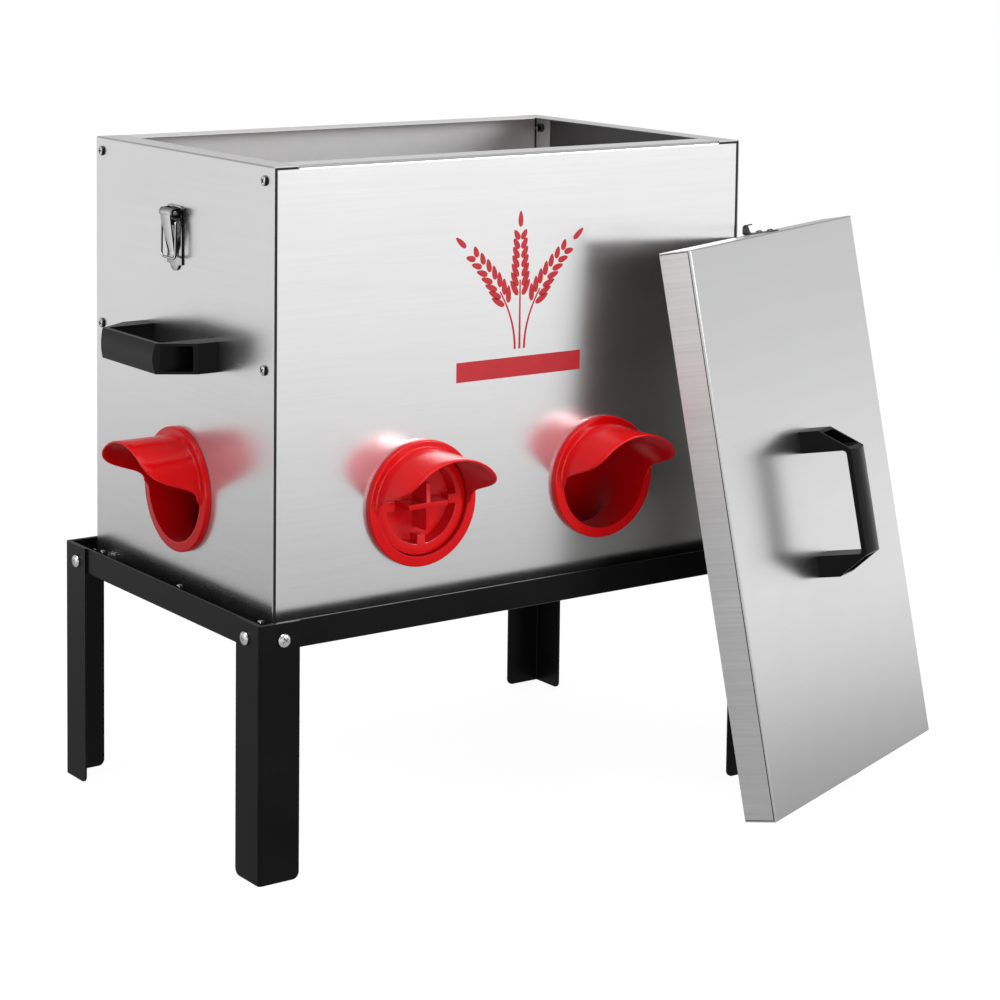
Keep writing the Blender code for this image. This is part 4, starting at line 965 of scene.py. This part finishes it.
for label, x0, s in (("upper_lid_keeper", 0.0, -1), ("lower_lid_keeper", LID_L, 1)):
    t = 1.2
    line = [(0.0, -3.6), (0.0, -LID_H - 0.2)] + arc(2.2, -LID_H - 0.2, 2.2, 180, 270, 8)[1:]
    line += [(6.2, -LID_H - 2.4)] + arc(6.2, -LID_H - 0.2, 2.2, 270, 360, 8)[1:] + [(8.4, -LID_H + 4.8)]
    pts = [Vector(p) for p in line]
    sides = ([], [])
    for i, p in enumerate(pts):
        a = (p - pts[i - 1]).normalized() if i else (pts[1] - pts[0]).normalized()
        b = (pts[i + 1] - p).normalized() if i + 1 < len(pts) else a
        n = (a + b).normalized()
        n = Vector((-n.y, n.x)) * (t / 2 / max(0.5, math.cos(a.angle(b) / 2)))
        sides[0].append(p + n)
        sides[1].append(p - n)
    outline = [tuple(p) for p in sides[0]] + [tuple(p) for p in reversed(sides[1])]
    hook = outline_mesh([outline], 14.0)
    for vertex in hook.vertices:
        along, down = vertex.co.x / MM, vertex.co.y / MM
        if along > 1.0:
            share = 0.4 * min(1.0, (along - 1.0) / 7.0) + 0.5 * min(1.0, max(0.0, (down + LID_H + 1.0) / 5.5))
            vertex.co.z *= 1.0 - share
    hook = worked(hook, bevel=(0.3, 2), limit=50)
    place = LID @ axes((x0 + s * (0.05 + t / 2), KEEPER_Y, 0), (s, 0, 0), (0, 0, 1))
    piece(label + "_look", hook, "claw", "lid", label, place)
    heads = []
    for z in (-9.0, -20.5):
        heads.append(baked(rivet_top.copy(), standing((x0 + s * 1.2, KEEPER_Y, z), (s, 0, 0))))
    piece(label + "_rivets", joined(*heads), "claw", "lid", (), LID)

# ------------------------------------------------------------------ printed picture: a plain bar under three ears of grain


def leaf(cx, cz, length, width, angle, steps=20):
    """A pointed oval."""
    points = []
    for k in range(steps):
        a = 2 * math.pi * k / steps
        x = length / 2 * math.cos(a)
        y = width / 2 * math.sin(a) * (1 - 0.25 * math.cos(a))
        c, s = math.cos(angle), math.sin(angle)
        points.append((cx + x * c - y * s, cz + x * s + y * c))
    return points


def stroke(points, widths):
    """A tapering band along a line of points."""
    one, two = [], []
    for i, p in enumerate(points):
        a, b = points[max(0, i - 1)], points[min(len(points) - 1, i + 1)]
        d = Vector((b[0] - a[0], b[1] - a[1])).normalized()
        one.append((p[0] - d.y * widths[i] / 2, p[1] + d.x * widths[i] / 2))
        two.append((p[0] + d.y * widths[i] / 2, p[1] - d.x * widths[i] / 2))
    return one + two[::-1]


def ear(base, lean, height):
    shapes = []
    path = []
    for k in range(17):
        u = k / 16
        path.append((base[0] + lean * u * u, base[1] + height * u))
    shapes.append(stroke(path[:10], [2.2 - 0.9 * k / 9 for k in range(10)]))
    for k in range(7):
        u = 0.50 + 0.072 * k
        x, z = base[0] + lean * u * u, base[1] + height * u
        along = math.atan2(height, 2 * lean * u)
        size = 15.5 - 0.9 * k
        for side in (-1, 1):
            tilt = along - side * math.radians(30)
            off = 6.4 - 0.42 * k
            shapes.append(leaf(x + off * math.sin(along) * side, z - off * math.cos(along) * side, size, 5.4, tilt))
    u = 1.06
    shapes.append(leaf(base[0] + lean * u * u, base[1] + height * u, 14, 5, math.atan2(height, 2 * lean)))
    return shapes


plates = [[(-66.0, 399.5), (68.0, 399.5), (68.0, 417.0), (-66.0, 417.0)]]
for base, lean, height in (((-4.0, 424.0), -52.0, 92.0), ((1.0, 424.0), 0.001, 108.0), ((6.0, 424.0), 52.0, 92.0)):
    plates += ear(base, lean, height)
shells = [baked(outline_mesh([plate], 0.12), axes((0, -D / 2 - 0.07, 0), (1, 0, 0), (0, 0, 1))) for plate in plates]
piece("front_print", joined(*shells), "ink", "feeder")

# ------------------------------------------------------------------ stage
bpy.ops.mesh.primitive_plane_add(size=40, location=MIDDLE @ Vector((0, 0, -0.0006)))
floor = bpy.context.object
floor.name = "studio_floor"
made = bpy.data.materials.new("studio_floor")
made.use_nodes = True
tree = made.node_tree
for extra in list(tree.nodes):
    if extra.type != "OUTPUT_MATERIAL":
        tree.nodes.remove(extra)
out = next(n for n in tree.nodes if n.type == "OUTPUT_MATERIAL")
diffuse = node(tree, "ShaderNodeBsdfDiffuse")
diffuse.inputs["Color"].default_value = (0.86, 0.86, 0.86, 1)
shine = node(tree, "ShaderNodeEmission")
shine.inputs["Color"].default_value = (1, 1, 1, 1)
shine.inputs["Strength"].default_value = 1.10
seen = node(tree, "ShaderNodeMixShader")
seen.inputs[0].default_value = 0.86
tree.links.new(diffuse.outputs[0], seen.inputs[1])
tree.links.new(shine.outputs[0], seen.inputs[2])
# painted reflection: what the metal sees of the floor is an emission, dark near the object, pale far away and lighter
# towards +X
where = node(tree, "ShaderNodeTexCoord")
length = node(tree, "ShaderNodeVectorMath", operation="LENGTH")
tree.links.new(where.outputs["Object"], length.inputs[0])
far = node(tree, "ShaderNodeMapRange", interpolation_type="SMOOTHSTEP")
far.inputs["From Min"].default_value = 0.25
far.inputs["From Max"].default_value = 2.8
far.inputs["To Min"].default_value = 0.46
far.inputs["To Max"].default_value = 1.0
tree.links.new(length.outputs["Value"], far.inputs["Value"])
reflected = node(tree, "ShaderNodeEmission")
parts = node(tree, "ShaderNodeSeparateXYZ")
tree.links.new(where.outputs["Object"], parts.inputs[0])
aside = maths(tree, "SUBTRACT", parts.outputs["X"], maths(tree, "ABSOLUTE", parts.outputs["Y"], 0.0))
tree.links.new(maths(tree, "ADD", far.outputs["Result"], ramp(tree, aside, 0.0, 0.16, 0.1, 1.0)), reflected.inputs["Strength"])
path = node(tree, "ShaderNodeLightPath")
pick = node(tree, "ShaderNodeMixShader")
tree.links.new(path.outputs["Is Camera Ray"], pick.inputs[0])
tree.links.new(reflected.outputs[0], pick.inputs[1])
tree.links.new(seen.outputs[0], pick.inputs[2])
tree.links.new(pick.outputs[0], out.inputs["Surface"])
floor.data.materials.append(made)

world = bpy.data.worlds.new("studio")
bpy.context.scene.world = world
world.use_nodes = True
tree = world.node_tree
for extra in list(tree.nodes):
    tree.nodes.remove(extra)
out = node(tree, "ShaderNodeOutputWorld")
place = node(tree, "ShaderNodeTexCoord")
split = node(tree, "ShaderNodeSeparateXYZ")
tree.links.new(place.outputs["Generated"], split.inputs[0])
height = node(tree, "ShaderNodeMapRange", interpolation_type="SMOOTHSTEP")
height.inputs["From Min"].default_value = -0.05
height.inputs["From Max"].default_value = 0.75
height.inputs["To Min"].default_value = 1.0
height.inputs["To Max"].default_value = 0.42
tree.links.new(split.outputs["Z"], height.inputs["Value"])
sky = node(tree, "ShaderNodeBackground")
overhead = node(tree, "ShaderNodeMapRange", interpolation_type="SMOOTHSTEP")
overhead.inputs["From Min"].default_value = 0.55
overhead.inputs["From Max"].default_value = 0.92
overhead.inputs["To Min"].default_value = 0.0
overhead.inputs["To Max"].default_value = 0.30
tree.links.new(split.outputs["Z"], overhead.inputs["Value"])
tree.links.new(maths(tree, "ADD", height.outputs["Result"], overhead.outputs["Result"]), sky.inputs["Strength"])
plain = node(tree, "ShaderNodeBackground")
plain.inputs["Color"].default_value = (1, 1, 1, 1)
plain.inputs["Strength"].default_value = 1.06
path = node(tree, "ShaderNodeLightPath")
pick = node(tree, "ShaderNodeMixShader")
tree.links.new(path.outputs["Is Camera Ray"], pick.inputs[0])
tree.links.new(sky.outputs[0], pick.inputs[1])
tree.links.new(plain.outputs[0], pick.inputs[2])
tree.links.new(pick.outputs[0], out.inputs["Surface"])


def softbox(name, at, to, size, power):
    data = bpy.data.lights.new(name, "AREA")
    data.shape, data.size, data.size_y, data.energy = "RECTANGLE", size[0], size[1], power
    lamp = bpy.data.objects.new(name, data)
    bpy.context.scene.collection.objects.link(lamp)
    lamp.location = MIDDLE @ Vector(at)
    lamp.visible_camera = False
    lamp.rotation_euler = (Vector(to) - Vector(at)).to_track_quat("-Z", "Y").to_euler()
    return lamp


softbox("top_box", (-0.5, -0.5, 2.3), (0, 0, 0.35), (1.5, 1.1), 26)
softbox("left_box", (-2.6, 0.3, 1.3), (0, 0, 0.4), (1.2, 1.4), 14)
lit = bpy.data.collections.new("moulded_parts")
for obj in list(bpy.context.scene.collection.all_objects):
    if obj.type == "MESH" and obj.name.endswith(("_port_look", "plug_look", "_ring_nut_look")):
        lit.objects.link(obj)
glint = softbox("glint_box", (1.45, -2.3, 1.25), (0, 0, 0.35), (0.8, 0.34), 30)
glint.light_linking.receiver_collection = lit
fill = softbox("fill_box", (-0.7, -2.4, 0.45), (0, 0, 0.3), (1.6, 1.2), 28)
fill.light_linking.receiver_collection = lit
softbox("right_box", (1.45, -2.3, 1.25), (0, 0, 0.35), (1.6, 0.9), 20)

# ------------------------------------------------------------------ camera at the photo's angle
YAW, PITCH, ROLL = math.radians(35.294), math.radians(5.303), math.radians(0.652)
forward = Vector((math.sin(YAW) * math.cos(PITCH), math.cos(YAW) * math.cos(PITCH), -math.sin(PITCH)))
right = Vector((math.cos(YAW), -math.sin(YAW), 0))
up = right.cross(forward)
right, up = math.cos(ROLL) * right + math.sin(ROLL) * up, -math.sin(ROLL) * right + math.cos(ROLL) * up
camera_data = bpy.data.cameras.new("camera")
camera_data.lens = 2700.4 / 1000 * 36
camera_data.sensor_width = 36
camera_data.clip_end = 100
camera = bpy.data.objects.new("camera", camera_data)
bpy.context.scene.collection.objects.link(camera)
turned = Matrix((right, up, -forward)).transposed().to_4x4()
camera.matrix_world = MIDDLE @ Matrix.Translation((-1.3819, -2.0468, 0.8258)) @ turned
bpy.context.scene.camera = camera
# the lens shift belongs to the photo's angle only. A view from elsewhere turns the camera with a quaternion
# (rotation mode 0 instead of 1) and so stands centred on the object.
for path, amount in (("shift_x", 0.0203), ("shift_y", -0.3615)):
    curve = camera_data.driver_add(path)
    curve.driver.type = "SUM"
    source = curve.driver.variables.new()
    source.type = "SINGLE_PROP"
    source.targets[0].id_type = "OBJECT"
    source.targets[0].id = camera
    source.targets[0].data_path = "rotation_mode"
    while curve.modifiers:
        curve.modifiers.remove(curve.modifiers[0])
    slope = curve.modifiers.new("GENERATOR")
    slope.poly_order = 1
    slope.coefficients = (0.0, amount)
bpy.context.scene.view_settings.view_transform = "Standard"
